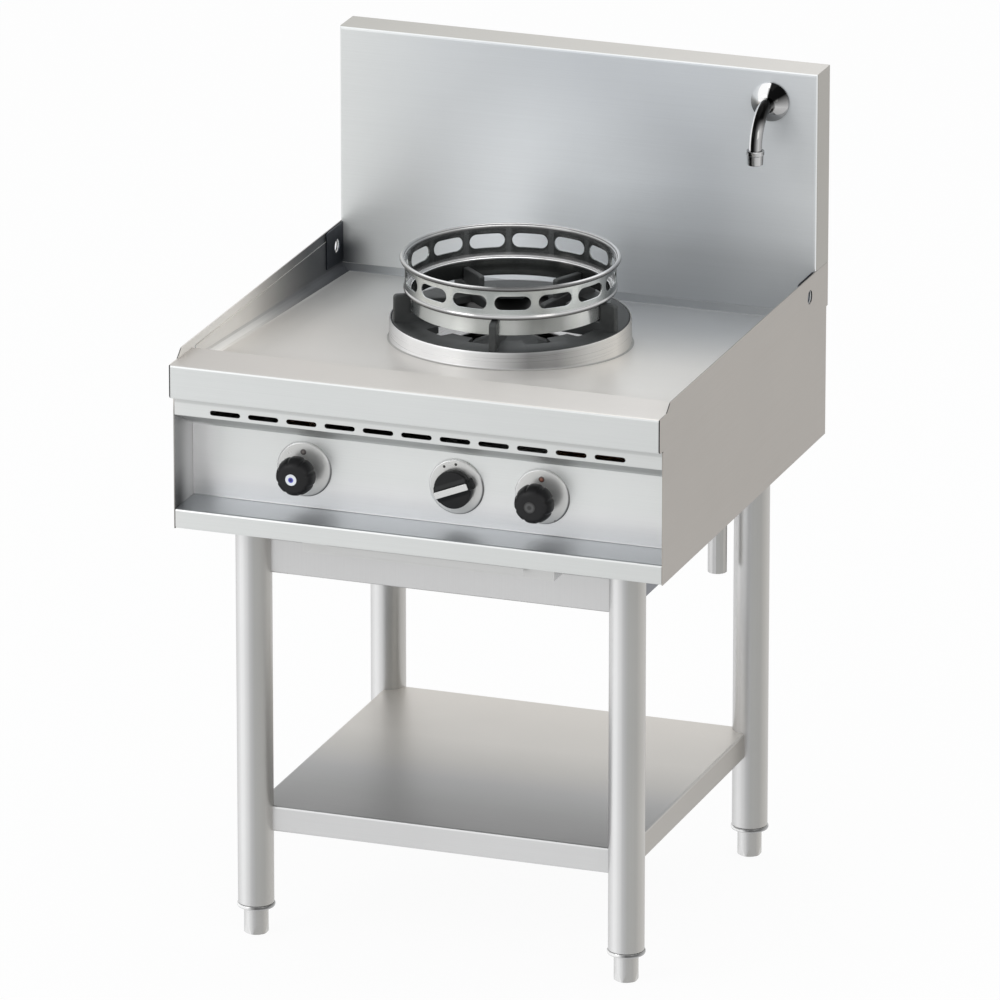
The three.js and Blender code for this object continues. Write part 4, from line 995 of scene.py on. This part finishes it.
stud("mark_left", TAPS["left"], MARK_Z, 4.1, 1.4, mark_grey)
stud("mark_right", TAPS["right"], MARK_Z, 4.1, 1.4, mark_brown)
GAS_MARK_REACH = 32
for name, angle in (("mark_off", 0.0), ("mark_low", 31.5)):
    a = math.radians(angle)
    stud(name, GAS_X - GAS_MARK_REACH * math.sin(a), CONTROL_Z + GAS_MARK_REACH * math.cos(a),
        1.9, 0.15, mark_black)

# Tap knob: broad lobes with narrow grooves, which start beyond a radius and end at a depth.
LOBES, LOBE_TURN = 8, 19.4
GROOVE_CUT, GROOVE_SHARE = 1.6, 0.55
GROOVE_START, GROOVE_RUN, GROOVE_END = 20, 5, TAP_FACE + 19


def wheel_warp(radius, level, angle):
    if level > GROOVE_END:
        return radius, level
    share = min(1.0, max(0.0, (radius - GROOVE_START) / GROOVE_RUN))
    wave = abs(math.sin(LOBES / 2 * (angle - math.radians(LOBE_TURN))))
    groove = max(0.0, 1 - wave / GROOVE_SHARE)
    return radius - GROOVE_CUT * share * groove * groove * (3 - 2 * groove), level


wheel_profile = [(radius, TAP_FACE + depth) for radius, depth in (
    (0, -9), (8.6, -9), (14, -8.6), (18.5, -7.4), (21.5, -5.4), (23.6, -2.8), (25.2, 0.5),
    (26.3, 4), (26.9, 8), (27, 13), (26.3, 16.8), (24.8, 18.8), (18, 19.4), (16, 20.6),
    (14.6, 23))] + [(14.6, BEZEL_FACE - FIT), (0, BEZEL_FACE - FIT)]
cap_profile = [(radius, TAP_FACE + depth) for radius, depth in (
    (0, -8.6), (7.9, -8.6), (8, -9.4), (7.5, -9.85), (0, -10))]
for side, cap, cap_slot in (("left", cap_white, "cap_light"), ("right", cap_grey, "cap_dark")):
    place = (TAPS[side], 0, CONTROL_Z)
    piece(f"hand_wheel_{side}", lathe(bmesh.new(), wheel_profile, place, "Y", 192, wheel_warp),
        black, body=f"tap_{side}", replaces=(f"water_knob_{side}",))
    piece(f"cap_{side}", lathe(bmesh.new(), cap_profile, place, "Y", 64), cap,
        body=f"tap_{side}", replaces=(f"knob_cap_{side}",))

# Gas knob: a disc with a wing that narrows towards its bright front strip, and a pointer.
DIAL, DIAL_TURN = (GAS_X, 0, CONTROL_Z), -22
dial_profile = [(radius, GAS_FACE + depth) for radius, depth in (
    (0, -6), (24.4, -6), (25.6, -5.5), (26.3, -4.3), (26.5, -2.8), (26.5, 4.6), (25.9, 5.2),
    (0, 5.2))]
# Levels of the wing and of the pointer: depth, half width, left end, right end, corner.
wing = [(-5.5, 12.5, -25.3, 25.5, 5.0), (-6.6, 9.8, -25.4, 25.6, 4.4),
    (-7.8, 7.4, -25.5, 25.8, 3.4), (-9.0, 5.6, -25.6, 26.0, 2.4), (-10.0, 4.8, -25.6, 26.2, 2.0)]
pointer = [(4.0, 8.0, 10.0, 30.6, 3.0), (-5.0, 7.2, 10.0, 29.8, 3.0), (-8.6, 5.6, 10.0, 28.2, 2.4)]
dial = lathe(bmesh.new(), dial_profile, DIAL, "Y")
before = set(dial.verts)
for levels in (wing, pointer):
    stack(dial, [[(GAS_X + u, GAS_FACE + depth, CONTROL_Z + v)
        for u, v in rectangle(left, right, -half, half, corner)]
        for depth, half, left, right, corner in levels])
turn_about(dial, DIAL_TURN, DIAL, "Y", before)
piece("gas_dial", dial, black, body="gas_control", replaces=("gas_knob",))
strip = prism(bmesh.new(), [(GAS_X + u, CONTROL_Z + v)
    for u, v in rectangle(-25.2, 25.4, -4.6, 4.6, 1.6)], "Y", GAS_FACE - 11.2, GAS_FACE - 9.8)
turn_about(strip, DIAL_TURN, DIAL, "Y")
bevel(piece("dial_strip", strip, strip_steel, body="gas_control",
    replaces=("knob_bar",)), width=0.5, segments=3)

# ------------------------------------------------------------------ spout

seat = SPLASH - FIT
piece("spout_rosette", lathe(bmesh.new(), [(SPOUT_RADIUS, seat), (27.3, seat), (27.5, seat - 0.4),
    (27.5, seat - 2.2), (27.1, seat - 3.3), (14.0, seat - 13.8), (13.0, seat - 14.7),
    (12.0, seat - 15), (SPOUT_RADIUS, seat - 15)], (SPOUT_X, 0, SPOUT_Z), "Y"),
    rosette_chrome, replaces=("rosette",))
piece("spout_tube", pipe(bmesh.new(), [(SPOUT_X, SPLASH + SHEET, SPOUT_Z),
    (SPOUT_X, SPOUT_Y, SPOUT_Z), (SPOUT_X, SPOUT_Y, NOZZLE_TOP - 2)], SPOUT_RADIUS, SPOUT_BEND),
    spout_chrome, replaces=("spout",))
nozzle_profile = [(radius, NOZZLE_TOP - drop) for radius, drop in (
    (SPOUT_RADIUS, 0), (11.9, 0), (12.6, 0.6), (12.6, 5.2), (12.1, 6.2), (11.4, 7), (10.9, 19.8),
    (10.3, 20.4), (8.6, 20.4), (8.6, 11), (SPOUT_RADIUS, 11))]
piece("spout_nozzle", lathe(bmesh.new(), nozzle_profile, (SPOUT_X, SPOUT_Y, 0)), nozzle_chrome,
    replaces=("nozzle",))

# ------------------------------------------------------------------ light, floor, camera

scene = bpy.context.scene
scene.view_settings.view_transform = "Standard"


def seen_directly(tree):
    """1 for what the camera, a gloss or clear glass sees, 0 for light on its way to a surface."""
    rays = node(tree, "ShaderNodeLightPath")
    seen = rays.outputs["Is Camera Ray"]
    for kind in ("Is Glossy Ray", "Is Transmission Ray"):
        either = node(tree, "ShaderNodeMath", operation="MAXIMUM")
        link(tree, seen, either.inputs[0])
        link(tree, rays.outputs[kind], either.inputs[1])
        seen = either.outputs[0]
    return seen


world = bpy.data.worlds.new("studio")
scene.world = world
world.use_nodes = True
sky = world.node_tree
sky.nodes.clear()
backdrop = node(sky, "ShaderNodeBackground", Color=(1, 1, 1, 1), Strength=1.0)
ambient = node(sky, "ShaderNodeBackground", Color=(0.97, 0.985, 1, 1), Strength=0.8)
pick = node(sky, "ShaderNodeMixShader")
link(sky, seen_directly(sky), pick.inputs["Fac"])
link(sky, ambient.outputs[0], pick.inputs[1])
link(sky, backdrop.outputs[0], pick.inputs[2])
link(sky, pick.outputs[0], node(sky, "ShaderNodeOutputWorld").inputs["Surface"])

# Floor, in metres: white as seen but for a little of its own shade, which keeps the shadow.
FLOOR_HALF, FLOOR_LEVEL, FLOOR_WHITE = 30.0, -0.0005, 0.94
floor_mesh = bpy.data.meshes.new("floor")
floor_mesh.from_pydata([(x * FLOOR_HALF, y * FLOOR_HALF, FLOOR_LEVEL)
    for x, y in ((-1, -1), (1, -1), (1, 1), (-1, 1))], [], [(0, 1, 2, 3)])
floor = bpy.data.objects.new("floor", floor_mesh)
scene.collection.objects.link(floor)
floor_mat, tree, shader = new_material("pale_floor")
shader.inputs["Base Color"].default_value = (0.9, 0.9, 0.9, 1)
shader.inputs["Roughness"].default_value = 0.9
white = node(tree, "ShaderNodeEmission", Color=(1, 1, 1, 1), Strength=1.0)
share = node(tree, "ShaderNodeMath", operation="MULTIPLY")
share.inputs[1].default_value = FLOOR_WHITE
link(tree, seen_directly(tree), share.inputs[0])
blend = node(tree, "ShaderNodeMixShader")
link(tree, share.outputs[0], blend.inputs["Fac"])
link(tree, shader.outputs[0], blend.inputs[1])
link(tree, white.outputs[0], blend.inputs[2])
link(tree, blend.outputs[0], tree.nodes["Material Output"].inputs["Surface"])
floor_mesh.materials.append(floor_mat)


def lamp(name, place, aim, size, power, color=(1, 1, 1)):
    """Square area lamp; places in metres, power in watts."""
    data = bpy.data.lights.new(name, "AREA")
    data.shape = "RECTANGLE"
    data.size = data.size_y = size
    data.energy = power
    data.color = color
    obj = bpy.data.objects.new(name, data)
    obj.location = place
    obj.rotation_euler = (Vector(aim) - Vector(place)).to_track_quat("-Z", "Y").to_euler()
    scene.collection.objects.link(obj)


lamp("key", (-2.6, -3.4, 3.2), (0, 0, 0.6), 2.2, 36)
lamp("fill", (3.4, -2.2, 2.4), (0, 0, 0.6), 1.4, 8, (1.0, 0.97, 0.93))
lamp("top", (0.2, 0.4, 3.6), (0, 0, 0.8), 1.6, 12)

# Camera, fitted to the photograph: angles in degrees, places in mm, the rest in its pixels.
azimuth, elevation, roll = map(math.radians, (19.88, 18.70, 0.02))
TARGET, DISTANCE = Vector((0.0, 4.37, 566.31)), 15891.4
FOCAL, CENTRE_U, CENTRE_V, IMAGE = 11582.1, 503.65, 506.73, 1000
SENSOR = 36.0
back = Vector((math.sin(azimuth) * math.cos(elevation),
    -math.cos(azimuth) * math.cos(elevation), math.sin(elevation)))
view = bpy.data.cameras.new("photo_view")
view.sensor_width = SENSOR
view.lens = FOCAL / IMAGE * SENSOR
view.shift_x = -(CENTRE_U - IMAGE / 2) / IMAGE
view.shift_y = (CENTRE_V - IMAGE / 2) / IMAGE
view.clip_start, view.clip_end = 0.5, 100.0
camera = bpy.data.objects.new("photo_view", view)
camera.location = (TARGET + back * DISTANCE) * MM
facing = (-back).to_track_quat("-Z", "Y").to_matrix()
camera.rotation_euler = (facing @ Matrix.Rotation(roll, 3, "Z")).to_euler()
scene.collection.objects.link(camera)
scene.camera = camera
